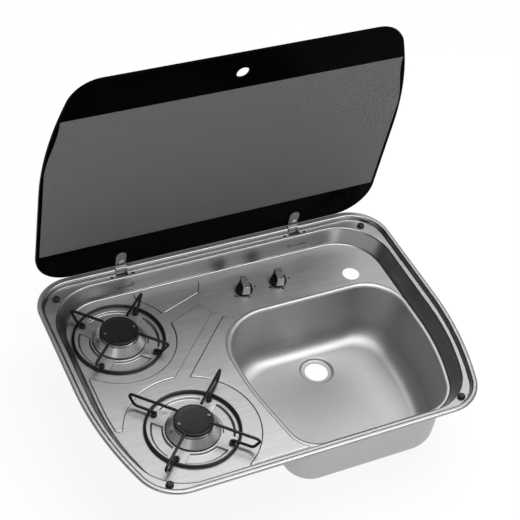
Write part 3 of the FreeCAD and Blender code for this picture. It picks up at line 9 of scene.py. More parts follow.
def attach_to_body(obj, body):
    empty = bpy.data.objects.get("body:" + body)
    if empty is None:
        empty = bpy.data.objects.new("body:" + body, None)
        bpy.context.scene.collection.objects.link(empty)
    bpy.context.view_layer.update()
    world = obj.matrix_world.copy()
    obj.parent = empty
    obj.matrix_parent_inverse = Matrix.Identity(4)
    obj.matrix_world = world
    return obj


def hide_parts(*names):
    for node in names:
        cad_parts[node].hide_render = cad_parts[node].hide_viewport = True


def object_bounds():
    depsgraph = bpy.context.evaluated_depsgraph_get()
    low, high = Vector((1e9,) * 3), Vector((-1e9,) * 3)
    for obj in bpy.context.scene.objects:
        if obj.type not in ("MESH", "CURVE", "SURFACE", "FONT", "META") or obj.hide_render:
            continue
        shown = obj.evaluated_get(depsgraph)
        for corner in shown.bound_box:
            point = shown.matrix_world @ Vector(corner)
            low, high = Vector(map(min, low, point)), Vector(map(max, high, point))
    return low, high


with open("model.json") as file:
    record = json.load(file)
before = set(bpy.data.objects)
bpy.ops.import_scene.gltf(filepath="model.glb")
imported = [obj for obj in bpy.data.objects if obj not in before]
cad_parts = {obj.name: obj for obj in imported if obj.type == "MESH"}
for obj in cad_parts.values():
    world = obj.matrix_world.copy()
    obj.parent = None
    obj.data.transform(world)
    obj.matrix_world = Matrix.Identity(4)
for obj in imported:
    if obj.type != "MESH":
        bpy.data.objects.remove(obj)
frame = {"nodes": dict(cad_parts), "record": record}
cad_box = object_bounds()
nodes = frame["nodes"]
body_of = {node: body
           for body, members in frame["record"]["behaviour"]["bodies"].items()
           for node in members}

# Sizes and places in millimetres, as on the object
MM = 0.001
UNIT_WIDTH = 600.0
UNIT_DEPTH = 445.0
RIGHT_X = UNIT_WIDTH / 2
BACK_Y = UNIT_DEPTH / 2
FRONT_Y = -UNIT_DEPTH / 2
LEDGE = -5.0
DECK = -31.0
SHEET = 0.8
REAR_BURNER = (-194.0, 100.0)
FRONT_BURNER = (-155.0, -99.0)
KNOBS = {"left": (30.0, 135.0), "right": (90.0, 135.0)}
HINGE_X = 150.0
HINGE_AXIS = (0.0, 215.0, -4.5)
LID_OPEN_ANGLE = 81.1
LID_BACK_EDGE = 206.9

# Print on the lid: a band of dots, measured along the lid from its back edge.
# A dot's edge fades between two parts of its full strength.
BAND_START = 65.0
BAND_TAPER_START = 245.0
BAND_END = 352.0
BAND_EDGE = 0.6
BAND_HALF_WIDTH = 282.5
BAND_END_HALF_WIDTH = 264.0
DOT_SPACING = 2.6
DOT_FADE = (0.12, 0.42)

# Range of a noise pattern that holds most of its values
NOISE_LOW = 0.3
NOISE_HIGH = 0.7

# Changes of gloss left by handling: their size in millimetres and their share of roughness
SMEAR_MM = 70
SMEAR = 0.08

# Upward part of the normal where a pressed sheet is still flat, and where it is fully bent
FLAT_NORMAL = 0.99
BENT_NORMAL = 0.9


# Nodes and materials

def linear(code):
    """sRGB hex code to a linear colour."""
    values = [int(code[i:i + 2], 16) / 255 for i in (1, 3, 5)]
    return tuple(v / 12.92 if v <= 0.04045 else ((v + 0.055) / 1.055) ** 2.4 for v in values) + (1.0,)


def per_mm(*sizes):
    """Scale that makes a pattern's features the given number of millimetres long, wide and high."""
    return tuple(1 / (size * MM) for size in sizes)


def add_node(tree, kind, inputs=None, **settings):
    """Add a node with its settings; an input is a value or another node's output."""
    node = tree.nodes.new(kind)
    for name, value in settings.items():
        setattr(node, name, value)
    for key, value in (inputs or {}).items():
        if isinstance(value, bpy.types.NodeSocket):
            tree.links.new(value, node.inputs[key])
        else:
            node.inputs[key].default_value = value
    return node


def empty_tree(owner):
    """Node tree of a material or world, with nothing in it yet."""
    owner.use_nodes = True
    owner.node_tree.nodes.clear()
    return owner.node_tree


def new_material(name, **constants):
    """Material with its shader and output; the constants go on the shader's own sockets."""
    material = bpy.data.materials.new(name)
    tree = empty_tree(material)
    values = {key.replace("_", " "): value for key, value in constants.items()}
    shader = add_node(tree, "ShaderNodeBsdfPrincipled", values)
    add_node(tree, "ShaderNodeOutputMaterial", {"Surface": shader.outputs["BSDF"]})
    return material, tree, shader


def finish(name, dark, light, roughness, grain_mm, depth_mm, burnished=None, **constants):
    """A made surface: two near colours and a roughness that follow its grain, the grain's
    own relief, and slow changes of gloss as left by handling. On a burnished sheet, the
    bends and steep walls have lost the grain and have a roughness of their own."""
    material, tree, shader = new_material(name, **constants)
    where = add_node(tree, "ShaderNodeTexCoord")
    size = add_node(tree, "ShaderNodeMapping",
                    {"Vector": where.outputs["Object"], "Scale": per_mm(*grain_mm)})
    grain = add_node(tree, "ShaderNodeTexNoise",
                     {"Vector": size.outputs["Vector"], "Scale": 1.0, "Detail": 3.0, "Roughness": 0.55})
    spot = add_node(tree, "ShaderNodeTexNoise",
                    {"Vector": where.outputs["Object"], "Scale": per_mm(SMEAR_MM)[0], "Detail": 2.0})
    share = add_node(tree, "ShaderNodeMapRange",
                     {"Value": grain.outputs["Fac"], "From Min": NOISE_LOW, "From Max": NOISE_HIGH})
    tone = add_node(tree, "ShaderNodeMix",
                    {"Factor": share.outputs["Result"], 6: linear(dark), 7: linear(light)}, data_type="RGBA")
    gloss = add_node(tree, "ShaderNodeMapRange",
                     {"Value": grain.outputs["Fac"], "From Min": NOISE_LOW, "From Max": NOISE_HIGH,
                      "To Min": roughness[0], "To Max": roughness[1]})
    smear = add_node(tree, "ShaderNodeMath",
                     {0: spot.outputs["Fac"], 1: SMEAR, 2: gloss.outputs["Result"]},
                     operation="MULTIPLY_ADD")
    rough = add_node(tree, "ShaderNodeMath", {0: smear.outputs[0], 1: SMEAR / 2}, operation="SUBTRACT")
    relief = add_node(tree, "ShaderNodeBump", {"Height": grain.outputs["Fac"], "Distance": depth_mm * MM})
    tree.links.new(tone.outputs[2], shader.inputs["Base Color"])
    tree.links.new(rough.outputs[0], shader.inputs["Roughness"])
    tree.links.new(relief.outputs["Normal"], shader.inputs["Normal"])
    if "Anisotropic" in constants:
        across = add_node(tree, "ShaderNodeTangent", direction_type="RADIAL", axis="X")
        tree.links.new(across.outputs["Tangent"], shader.inputs["Tangent"])
    if burnished:
        split = add_node(tree, "ShaderNodeSeparateXYZ", {"Vector": where.outputs["Normal"]})
        steep = add_node(tree, "ShaderNodeMapRange",
                         {"Value": split.outputs["Z"], "From Min": FLAT_NORMAL, "From Max": BENT_NORMAL})
        polish = add_node(tree, "ShaderNodeMix",
                          {"Factor": steep.outputs["Result"], 2: rough.outputs[0], 3: burnished})
        pull = add_node(tree, "ShaderNodeMapRange",
                        {"Value": steep.outputs["Result"],
                         "To Min": constants["Anisotropic"], "To Max": 0.0})
        tree.links.new(polish.outputs[0], shader.inputs["Roughness"])
        tree.links.new(pull.outputs["Result"], shader.inputs["Anisotropic"])
    return material


def turned_aluminium(name, centre):
    """Die cast aluminium turned on a lathe, a soft grey with fine rings about its own axis.
    The tool marks are about 0.1 mm apart and are drawn at 0.5 mm so that they show."""
    mark_mm = 0.5
    depth_mm = 0.008
    material, tree, shader = new_material(name, Metallic=1.0)
    where = add_node(tree, "ShaderNodeTexCoord")
    shift = (-centre[0] * MM, -centre[1] * MM, 0.0)
    middle = add_node(tree, "ShaderNodeVectorMath", {0: where.outputs["Object"], 1: shift}, operation="ADD")
    flat = add_node(tree, "ShaderNodeVectorMath",
                    {0: middle.outputs["Vector"], 1: (1.0, 1.0, 0.0)}, operation="MULTIPLY")
    radius = add_node(tree, "ShaderNodeVectorMath", {0: flat.outputs["Vector"]}, operation="LENGTH")
    ring = add_node(tree, "ShaderNodeTexNoise",
                    {"W": radius.outputs["Value"], "Scale": per_mm(mark_mm)[0], "Detail": 3.0},
                    noise_dimensions="1D")
    tone = add_node(tree, "ShaderNodeMix",
                    {"Factor": ring.outputs["Fac"], 6: linear("#C2C2C3"), 7: linear("#DADADA")},
                    data_type="RGBA")
    gloss = add_node(tree, "ShaderNodeMapRange",
                     {"Value": ring.outputs["Fac"], "From Min": NOISE_LOW, "From Max": NOISE_HIGH,
                      "To Min": 0.26, "To Max": 0.36})
    relief = add_node(tree, "ShaderNodeBump", {"Height": ring.outputs["Fac"], "Distance": depth_mm * MM})
    tree.links.new(tone.outputs[2], shader.inputs["Base Color"])
    tree.links.new(gloss.outputs["Result"], shader.inputs["Roughness"])
    tree.links.new(relief.outputs["Normal"], shader.inputs["Normal"])
    return material


def printed_glass():
    """Toughened glass printed black behind, with a grey dot screen in a wide band. Such dots are
    often under 1 mm apart; they are drawn at 2.6 mm so that they show."""
    material, tree, shader = new_material("printed_black_glass", Roughness=0.22, IOR=1.5,
                                          Specular_IOR_Level=0.01)
    turn = math.radians(LID_OPEN_ANGLE)
    hinge = Vector(HINGE_AXIS)
    shift = hinge - Matrix.Rotation(turn, 3, "X") @ hinge
    where = add_node(tree, "ShaderNodeTexCoord")
    closed = add_node(tree, "ShaderNodeMapping",
                      {"Vector": where.outputs["Object"], "Location": tuple(shift),
                       "Rotation": (turn, 0.0, 0.0), "Scale": per_mm(1, 1, 1)})
    split = add_node(tree, "ShaderNodeSeparateXYZ", {"Vector": closed.outputs["Vector"]})

    # Dots where two waves cross on the diagonals
    waves = []
    for operation in ("ADD", "SUBTRACT"):
        along = add_node(tree, "ShaderNodeMath",
                         {0: split.outputs["X"], 1: split.outputs["Y"]}, operation=operation)
        phase = add_node(tree, "ShaderNodeMath",
                         {0: along.outputs[0], 1: math.pi / DOT_SPACING}, operation="MULTIPLY")
        waves.append(add_node(tree, "ShaderNodeMath", {0: phase.outputs[0]}, operation="SINE"))
    product = add_node(tree, "ShaderNodeMath",
                       {0: waves[0].outputs[0], 1: waves[1].outputs[0]}, operation="MULTIPLY")
    peak = add_node(tree, "ShaderNodeMath", {0: product.outputs[0]}, operation="ABSOLUTE")
    dots = add_node(tree, "ShaderNodeMapRange",
                    {"Value": peak.outputs[0], "From Min": DOT_FADE[0], "From Max": DOT_FADE[1]})

    # Band that the dots fill, narrower towards the front of the lid
    from_back = add_node(tree, "ShaderNodeMath",
                         {0: LID_BACK_EDGE, 1: split.outputs["Y"]}, operation="SUBTRACT")
    low_edge = add_node(tree, "ShaderNodeMapRange",
                        {"Value": from_back.outputs[0],
                         "From Min": BAND_START, "From Max": BAND_START + BAND_EDGE})
    high_edge = add_node(tree, "ShaderNodeMapRange",
                         {"Value": from_back.outputs[0],
                          "From Min": BAND_END + BAND_EDGE, "From Max": BAND_END})
    half = add_node(tree, "ShaderNodeMath", {0: split.outputs["X"]}, operation="ABSOLUTE")
    taper = add_node(tree, "ShaderNodeMapRange",
                     {"Value": from_back.outputs[0], "From Min": BAND_TAPER_START, "From Max": BAND_END,
                      "To Min": BAND_HALF_WIDTH, "To Max": BAND_END_HALF_WIDTH},
                     interpolation_type="SMOOTHSTEP")
    side = add_node(tree, "ShaderNodeMath",
                    {0: half.outputs[0], 1: taper.outputs["Result"]}, operation="LESS_THAN")
    band = add_node(tree, "ShaderNodeMath",
                    {0: low_edge.outputs["Result"], 1: high_edge.outputs["Result"]}, operation="MULTIPLY")
    field = add_node(tree, "ShaderNodeMath",
                     {0: band.outputs[0], 1: side.outputs[0]}, operation="MULTIPLY")
    screen = add_node(tree, "ShaderNodeMath",
                      {0: field.outputs[0], 1: dots.outputs["Result"]}, operation="MULTIPLY")
    tone = add_node(tree, "ShaderNodeMix",
                    {"Factor": screen.outputs[0], 6: linear("#030304"), 7: linear("#959694")},
                    data_type="RGBA")
    tree.links.new(tone.outputs[2], shader.inputs["Base Color"])
    return material


# Cold rolled stainless sheet, brushed along its length: pale, with a soft wide gleam across the grain.
# The grain is about 0.1 mm wide and is drawn at 0.6 mm so that it shows. Its bends and walls
# are burnished by the die and mirror what is near them.
STEEL = finish("brushed_stainless_sheet", "#909091", "#A6A6A6", roughness=(0.36, 0.42),
               grain_mm=(60, 0.6, 0.6), depth_mm=0.0008, burnished=0.26, Metallic=1.0, Anisotropic=0.72)
# Deep drawn stainless with a satin finish: even, duller and softer than the sheet
BOWL = finish("satin_drawn_stainless", "#AEAEAF", "#BEBEBE", roughness=(0.46, 0.52),
              grain_mm=(1.2, 1.2, 1.2), depth_mm=0.002, Metallic=1.0)
GLASS = printed_glass()
# Soft black rubber, moulded, with a dull even skin
RUBBER = finish("moulded_black_rubber", "#0B0B0C", "#151516", roughness=(0.55, 0.68),
                grain_mm=(0.8, 0.8, 0.8), depth_mm=0.01)
# Bright stainless strip, pressed and polished: small clear reflections
BRIGHT = finish("polished_stainless_strip", "#C8C8C9", "#DCDCDC", roughness=(0.18, 0.26),
                grain_mm=(0.6, 0.6, 0.6), depth_mm=0.002, Metallic=1.0)
# Satin stainless strip of the lid straps, a middle grey beside the bright pins
STRAP = finish("satin_stainless_strip", "#7E7E7F", "#969697", roughness=(0.28, 0.36),
               grain_mm=(0.6, 0.6, 0.6), depth_mm=0.003, Metallic=1.0)
# Blackened steel of small fixings, dull and dark
DARK_FIXING = finish("blackened_steel", "#1B1B1C", "#2A2A2B", roughness=(0.35, 0.5),
                     grain_mm=(0.5, 0.5, 0.5), depth_mm=0.004, Metallic=1.0)
# Plain steel of rivets and small screws, dulled in the tumbling drum
RIVET = finish("tumbled_steel", "#6E6E6F", "#868686", roughness=(0.34, 0.46),
               grain_mm=(0.5, 0.5, 0.5), depth_mm=0.004, Metallic=1.0)
# Zinc plated steel, pale with a faint bluish bloom
ZINC = finish("zinc_plated_steel", "#9EA2A6", "#B9BCBE", roughness=(0.32, 0.44),
              grain_mm=(6, 6, 6), depth_mm=0.004, Metallic=1.0)
# Vitreous black enamel on the wires, with a slight orange peel and small sharp lights
ENAMEL = finish("black_vitreous_enamel", "#070708", "#0C0C0D", roughness=(0.28, 0.36),
                grain_mm=(1.4, 1.4, 1.4), depth_mm=0.012, Specular_IOR_Level=0.35)
# Matt enamel of the burner caps: a soft dark grey where light falls on it
CAP_ENAMEL = finish("matt_black_enamel", "#121316", "#1A1B1E", roughness=(0.42, 0.52),
                    grain_mm=(1.2, 1.2, 1.2), depth_mm=0.01, Specular_IOR_Level=0.3)
# Machined brass of valves and jets: warm yellow with soft lights
BRASS = finish("machined_brass", "#B08A45", "#C9A45C", roughness=(0.25, 0.36),
               grain_mm=(1, 1, 1), depth_mm=0.004, Metallic=1.0)
# Black ABS of the knobs, moulded with a fine spark texture that breaks up its lights
KNOB_BLACK = finish("moulded_black_abs", "#0B0B0C", "#141415", roughness=(0.32, 0.42),
                    grain_mm=(0.35, 0.35, 0.35), depth_mm=0.006)
# Silver lacquer on moulded plastic: a bright grey, smooth and nearly even
KNOB_SILVER = finish("silver_lacquer", "#C6C8CA", "#DADCDD", roughness=(0.24, 0.30),
                     grain_mm=(9, 9, 9), depth_mm=0.0002, Metallic=0.85)
# Plain drawn steel of the flame probes, a little browned by heat
PROBE = finish("plain_probe_steel", "#5E5B58", "#7C7874", roughness=(0.35, 0.5),
               grain_mm=(1, 1, 1), depth_mm=0.004, Metallic=1.0)
# Screen printed marks, flat and dark
PRINT = finish("black_print", "#0E0E0F", "#161617", roughness=(0.45, 0.55),
               grain_mm=(0.3, 0.3, 0.3), depth_mm=0.001)
REAR_ALUMINIUM = turned_aluminium("turned_cast_aluminium_rear", REAR_BURNER)
FRONT_ALUMINIUM = turned_aluminium("turned_cast_aluminium_front", FRONT_BURNER)


# Meshes

# Angles in degrees: edges sharper than these stay sharp, on CAD copies and on round pieces
SHARP_EDGE = 35.0
SHARP_ON_ROUND = 40.0
# Faces of a CAD copy that turn less than this are one flat face
FLAT_ANGLE = 0.4
# A face of the pressed top with a normal higher than this belongs to its upper side
UPPER_SIDE = 0.15
# Points nearer than these, in millimetres, are one point
MERGE_CAD = 0.002
MERGE_RINGS = 0.001
MERGE_GROWN = 0.0005


def coat(mesh, material):
    """Give a mesh one material."""
    mesh.materials.clear()
    mesh.materials.append(material)


def new_piece(name, mesh, material):
    """Finished piece at the origin."""
    piece = bpy.data.objects.new(name, mesh)
    bpy.context.scene.collection.objects.link(piece)
    coat(mesh, material)
    return piece


def make_plain(piece):
    """Apply a piece's modifiers and leave a plain mesh."""
    bpy.context.view_layer.update()
    graph = bpy.context.evaluated_depsgraph_get()
    mesh = bpy.data.meshes.new_from_object(piece.evaluated_get(graph), depsgraph=graph)
    piece.modifiers.clear()
    old = piece.data
    piece.data = mesh
    mesh.name = piece.name
    bpy.data.meshes.remove(old)


def smooth(mesh, angle):
    """Smooth shading broken at edges sharper than an angle."""
    work = bmesh.new()
    work.from_mesh(mesh)
    for face in work.faces:
        face.smooth = True
    for edge in work.edges:
        edge.smooth = len(edge.link_faces) == 2 and edge.calc_face_angle(0.0) < math.radians(angle)
    work.to_mesh(mesh)
    work.free()


def attach(piece, node):
    """Stand for a CAD node and move with its body."""
    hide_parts(node)
    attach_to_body(piece, body_of[node])


def dressed(node, material, edge_mm, segments=2, sheet=False):
    """Merged copy of a CAD node with softened edges and smooth shading. Of a pressed sheet,
    only the bends of its upper face are softened."""
    mesh = nodes[node].data.copy()
    sharp = math.radians(SHARP_EDGE)
    work = bmesh.new()
    work.from_mesh(mesh)
    bmesh.ops.remove_doubles(work, verts=work.verts, dist=MERGE_CAD * MM)
    bmesh.ops.dissolve_limit(work, angle_limit=math.radians(FLAT_ANGLE), verts=work.verts, edges=work.edges)
    if sheet:
        bmesh.ops.triangulate(work, faces=work.faces)
        weight = work.edges.layers.float.new("bevel_weight_edge")
        for edge in work.edges:
            bent = len(edge.link_faces) == 2 and edge.calc_face_angle(0.0) > sharp
            edge[weight] = float(bent and min(face.normal.z for face in edge.link_faces) > UPPER_SIDE)
    work.to_mesh(mesh)
    work.free()
    smooth(mesh, SHARP_EDGE)
    piece = new_piece(node + "_skin", mesh, material)
    if edge_mm:
        bevel = piece.modifiers.new("soft_edges", "BEVEL")
        bevel.width = edge_mm * MM
        bevel.segments = segments
        bevel.limit_method = "WEIGHT" if sheet else "ANGLE"
        bevel.angle_limit = sharp
        bevel.use_clamp_overlap = not sheet
        bevel.harden_normals = True
    weigh = piece.modifiers.new("even_normals", "WEIGHTED_NORMAL")
    weigh.keep_sharp = True
    make_plain(piece)
    attach(piece, node)


# Shapes grown by node trees

# Steps round a wire, a bend, a stud and a ring
WIRE_STEPS = 16
BEND_STEPS = 8
STUD_STEPS = 40
RING_STEPS = 120
# A stud is turned about a very thin circle, and its points there are merged, in millimetres
STUD_AXIS = 0.0001
STUD_MERGE = 0.001
# Fingers of one pan support
FINGER_COUNT = 4


def new_tree(name, sizes):
    """Node tree with a geometry input, named sizes and a material."""
    tree = bpy.data.node_groups.new(name, "GeometryNodeTree")
    tree.interface.new_socket("Geometry", in_out="INPUT", socket_type="NodeSocketGeometry")
    for label in sizes:
        kind = "NodeSocketVector" if label == "Centre" else "NodeSocketFloat"
        tree.interface.new_socket(label, in_out="INPUT", socket_type=kind)
    tree.interface.new_socket("Finish", in_out="INPUT", socket_type="NodeSocketMaterial")
    tree.interface.new_socket("Geometry", in_out="OUTPUT", socket_type="NodeSocketGeometry")
    return tree, add_node(tree, "NodeGroupInput").outputs


def end_tree(tree, given, shape):
    """End a tree in real geometry with its material."""
    real = add_node(tree, "GeometryNodeRealizeInstances", {"Geometry": shape.outputs[0]})
    coated = add_node(tree, "GeometryNodeSetMaterial",
                      {"Geometry": real.outputs[0], "Material": given["Finish"]})
    add_node(tree, "NodeGroupOutput", {0: coated.outputs[0]})
    return tree


def turned_studs():
    """One turned head, flat below with a rounded upper edge, on every point of the mesh."""
    tree, given = new_tree("turned_studs", ("Radius", "Height", "Root", "Edge"))
    tall = add_node(tree, "ShaderNodeMath", {0: given["Height"], 1: given["Root"]})
    section = add_node(tree, "GeometryNodeCurvePrimitiveQuadrilateral",
                       {"Width": given["Radius"], "Height": tall.outputs[0]})
    half = add_node(tree, "ShaderNodeMath", {0: given["Radius"], 1: 0.5}, operation="MULTIPLY")
    gap = add_node(tree, "ShaderNodeMath", {0: given["Root"], 1: given["Height"]}, operation="SUBTRACT")
    drop = add_node(tree, "ShaderNodeMath", {0: gap.outputs[0], 1: 0.5}, operation="MULTIPLY")
    shift = add_node(tree, "ShaderNodeCombineXYZ", {"X": half.outputs[0], "Y": drop.outputs[0]})
    side = add_node(tree, "GeometryNodeTransform",
                    {"Geometry": section.outputs[0], "Translation": shift.outputs[0]})
    place = add_node(tree, "GeometryNodeInputPosition")
    parts = add_node(tree, "ShaderNodeSeparateXYZ", {"Vector": place.outputs[0]})
    outer = add_node(tree, "ShaderNodeMath",
                     {0: parts.outputs["X"], 1: half.outputs[0]}, operation="GREATER_THAN")
    upper = add_node(tree, "ShaderNodeMath",
                     {0: parts.outputs["Y"], 1: drop.outputs[0]}, operation="LESS_THAN")
    corner = add_node(tree, "ShaderNodeMath",
                      {0: outer.outputs[0], 1: upper.outputs[0]}, operation="MULTIPLY")
    radius = add_node(tree, "ShaderNodeMath", {0: corner.outputs[0], 1: given["Edge"]}, operation="MULTIPLY")
    rounded = add_node(tree, "GeometryNodeFilletCurve",
                       {"Curve": side.outputs[0], "Count": BEND_STEPS, "Radius": radius.outputs[0]},
                       mode="POLY")
    axis = add_node(tree, "GeometryNodeCurvePrimitiveCircle",
                    {"Resolution": STUD_STEPS, "Radius": STUD_AXIS * MM})
    head = add_node(tree, "GeometryNodeCurveToMesh",
                    {"Curve": axis.outputs[0], "Profile Curve": rounded.outputs[0]})
    whole = add_node(tree, "GeometryNodeMergeByDistance",
                     {"Geometry": head.outputs[0], "Distance": STUD_MERGE * MM})
    heads = add_node(tree, "GeometryNodeInstanceOnPoints",
                     {"Points": given["Geometry"], "Instance": whole.outputs[0]})
    return end_tree(tree, given, heads)


def wire_ring():
    """Round wire bent to a closed ring."""
    tree, given = new_tree("wire_ring", ("Radius", "Wire", "Centre"))
    path = add_node(tree, "GeometryNodeCurvePrimitiveCircle",
                    {"Resolution": RING_STEPS, "Radius": given["Radius"]})
    wire = add_node(tree, "GeometryNodeCurvePrimitiveCircle",
                    {"Resolution": WIRE_STEPS, "Radius": given["Wire"]})
    tube = add_node(tree, "GeometryNodeCurveToMesh",
                    {"Curve": path.outputs[0], "Profile Curve": wire.outputs[0]})
    moved = add_node(tree, "GeometryNodeTransform",
                     {"Geometry": tube.outputs[0], "Translation": given["Centre"]})
    return end_tree(tree, given, moved)


def wire_fingers():
    """Four bent wires about a burner: the mesh's path gets its bends, its thickness and four places."""
    tree, given = new_tree("wire_fingers", ("Wire", "Centre"))
    path = add_node(tree, "GeometryNodeMeshToCurve", {"Mesh": given["Geometry"]})
    radius = add_node(tree, "GeometryNodeInputNamedAttribute", {"Name": "bend"}, data_type="FLOAT")
    line = add_node(tree, "GeometryNodeFilletCurve",
                    {"Curve": path.outputs[0], "Count": BEND_STEPS, "Radius": radius.outputs["Attribute"]},
                    mode="POLY")
    wire = add_node(tree, "GeometryNodeCurvePrimitiveCircle",
                    {"Resolution": WIRE_STEPS, "Radius": given["Wire"]})
    tube = add_node(tree, "GeometryNodeCurveToMesh",
                    {"Curve": line.outputs[0], "Profile Curve": wire.outputs[0], "Fill Caps": True})
    places = add_node(tree, "GeometryNodePoints", {"Count": FINGER_COUNT, "Position": given["Centre"]})
    count = add_node(tree, "GeometryNodeInputIndex")
    angle = add_node(tree, "ShaderNodeMath",
                     {0: count.outputs[0], 1: 2 * math.pi / FINGER_COUNT, 2: math.pi / FINGER_COUNT},
                     operation="MULTIPLY_ADD")
    turn = add_node(tree, "ShaderNodeCombineXYZ", {"Z": angle.outputs[0]})
    fingers = add_node(tree, "GeometryNodeInstanceOnPoints",
                       {"Points": places.outputs[0], "Instance": tube.outputs[0],
                        "Rotation": turn.outputs[0]})
    return end_tree(tree, given, fingers)


STUDS = turned_studs()
RING = wire_ring()
FINGERS = wire_fingers()


def grown(name, tree, material, sizes, points=(), edges=(), bends=()):
    """Plain mesh that a node tree makes from points or a path, with its sizes in millimetres."""
    mesh = bpy.data.meshes.new(name)
    mesh.from_pydata([Vector(point) * MM for point in points], list(edges), [])
    if bends:
        radius = mesh.attributes.new("bend", "FLOAT", "POINT")
        radius.data.foreach_set("value", [bend * MM for bend in bends])
    piece = new_piece(name, mesh, material)
    maker = piece.modifiers.new(name, "NODES")
    maker.node_group = tree
    for item in tree.interface.items_tree:
        if item.name == "Geometry":
            continue
        if item.name == "Finish":
            maker[item.identifier] = material
        elif item.name == "Centre":
            maker[item.identifier] = [value * MM for value in sizes["Centre"]]
        else:
            maker[item.identifier] = sizes[item.name] * MM
    make_plain(piece)
    work = bmesh.new()
    work.from_mesh(piece.data)
    bmesh.ops.remove_doubles(work, verts=work.verts, dist=MERGE_GROWN * MM)
    bmesh.ops.recalc_face_normals(work, faces=work.faces)
    work.to_mesh(piece.data)
    work.free()
    smooth(piece.data, SHARP_ON_ROUND)
    coat(piece.data, material)
    return piece


# Outlines of corners and radii, as pressed

# Steps along each arc and each straight side of an outline
ARC_STEPS = 14
LINE_STEPS = 8


def towards(start, end):
    """Unit direction from one flat point towards another."""
    length = math.hypot(end[0] - start[0], end[1] - start[1])
    return ((end[0] - start[0]) / length, (end[1] - start[1]) / length)


def grow(outline, distance):
    """Move every side of an outline outwards."""
    points, radii = outline
    moved = []
    for i, point in enumerate(points):
        along = towards(points[i - 1], point)
        ahead = towards(point, points[(i + 1) % len(points)])
        share = distance / (1 + along[0] * ahead[0] + along[1] * ahead[1])
        moved.append((point[0] + (along[1] + ahead[1]) * share, point[1] - (along[0] + ahead[0]) * share))
    return moved, [radius + distance for radius in radii]


def blend(first, second, share):
    """Outline part of the way between two others."""
    points = [tuple(a[k] + (b[k] - a[k]) * share for k in (0, 1)) for a, b in zip(first[0], second[0])]
    return points, [a + (b - a) * share for a, b in zip(first[1], second[1])]


def arc_points(centre, radius, first, turn, steps):
    """Points along an arc from its first angle through its turn."""
    angles = [first + turn * step / steps for step in range(steps + 1)]
    return [(centre[0] + radius * math.cos(angle), centre[1] + radius * math.sin(angle)) for angle in angles]


def outline_ring(outline):
    """Points round an outline: the same number on every arc and every straight side."""
    points, radii = outline
    arcs = []
    for i, here in enumerate(points):
        back = towards(here, points[i - 1])
        ahead = towards(here, points[(i + 1) % len(points)])
        half = math.acos(max(-1.0, min(1.0, back[0] * ahead[0] + back[1] * ahead[1]))) / 2
        middle = towards((0, 0), (back[0] + ahead[0], back[1] + ahead[1]))
        centre = [here[k] + middle[k] * radii[i] / math.sin(half) for k in (0, 1)]
        reach = radii[i] / math.tan(half)
        start = [here[k] + back[k] * reach for k in (0, 1)]
        first = math.atan2(start[1] - centre[1], start[0] - centre[0])
        arcs.append(arc_points(centre, radii[i], first, math.pi - 2 * half, ARC_STEPS))
    ring = []
    for i, arc in enumerate(arcs):
        ring += arc
        following = arcs[(i + 1) % len(arcs)][0]
        for step in range(1, LINE_STEPS):
            ring.append(tuple(arc[-1][k] + (following[k] - arc[-1][k]) * step / LINE_STEPS for k in (0, 1)))
    return ring


def section_bend(corner, start_direction, end_direction, radius, steps):
    """Points of a bend between two straight runs of a section."""
    half = math.acos(-(start_direction[0] * end_direction[0] + start_direction[1] * end_direction[1])) / 2
    reach = radius / math.tan(half)
    start = [corner[k] - start_direction[k] * reach for k in (0, 1)]
    inward = towards(start_direction, end_direction)
    centre = [corner[k] + inward[k] * radius / math.sin(half) for k in (0, 1)]
    first = math.atan2(start[1] - centre[1], start[0] - centre[0])
    cross = start_direction[0] * end_direction[1] - start_direction[1] * end_direction[0]
    return arc_points(centre, radius, first, math.copysign(math.pi - 2 * half, cross), steps)


def ring_stack(name, rings, material, closed=True):
    """Mesh of quads through rings of equally many points; closed joins the last ring to the first."""
    work = bmesh.new()
    layers = [[work.verts.new(Vector(point) * MM) for point in ring] for ring in rings]
    following = layers[1:] + layers[:1] if closed else layers[1:]
    for low, high in zip(layers, following):
        for i in range(len(low)):
            k = (i + 1) % len(low)
            work.faces.new((low[i], low[k], high[k], high[i]))
    bmesh.ops.remove_doubles(work, verts=work.verts, dist=MERGE_RINGS * MM)
    bmesh.ops.recalc_face_normals(work, faces=work.faces)
    mesh = bpy.data.meshes.new(name)
    work.to_mesh(mesh)
    work.free()
    smooth(mesh, SHARP_ON_ROUND)
    return new_piece(name, mesh, material)


# Sink bowl

# Foot of the well that the bowl sits in, set in from the unit's edges
SIDE_SLANT = math.radians(18.5)
KNEE_FROM_FRONT = 136.5
FOOT_INSET = 31.0
FOOT_BACK_INSET = 32.5
FOOT_BACK_CORNER = 72.0
FOOT_KNEE = 400.0
FOOT_FRONT_CORNER = 66.0

# Edge of the bowl
BOWL_GAP = 1.0
BOWL_SEAM_GAP = 0.05
BOWL_BACK_Y = 91.0
BOWL_KNEE_Y = -56.0
BOWL_LEFT_X = -47.5
BOWL_LEFT_FRONT_X = -19.8
BOWL_BACK_RIGHT_CORNER = 62.0
BOWL_BACK_LEFT_CORNER = 84.0
BOWL_LEFT_KNEE = 500.0
BOWL_FRONT_LEFT_CORNER = 44.0

# Section of the bowl, inwards from its edge
BOWL_DEPTH = 109.0
BOWL_DRAFT = math.radians(2.5)
BOWL_LIP = 6.5
LIP_BEND = 5.4
LIP_BEND_STEPS = 8
FLOOR_BEND = 26.0
FLOOR_BEND_STEPS = 18
BOWL_RUN = BOWL_LIP + (BOWL_DEPTH - BOWL_LIP) * math.tan(BOWL_DRAFT)
FLOOR_INSET = BOWL_RUN + FLOOR_BEND
FLOOR = DECK - BOWL_DEPTH
# How much smaller the floor's corner radii are than those of the edge
FLOOR_CORNER_LOSS = 12.0
FLOOR_LEFT_KNEE_LOSS = 200.0
FLOOR_RIGHT_KNEE_LOSS = 75.0
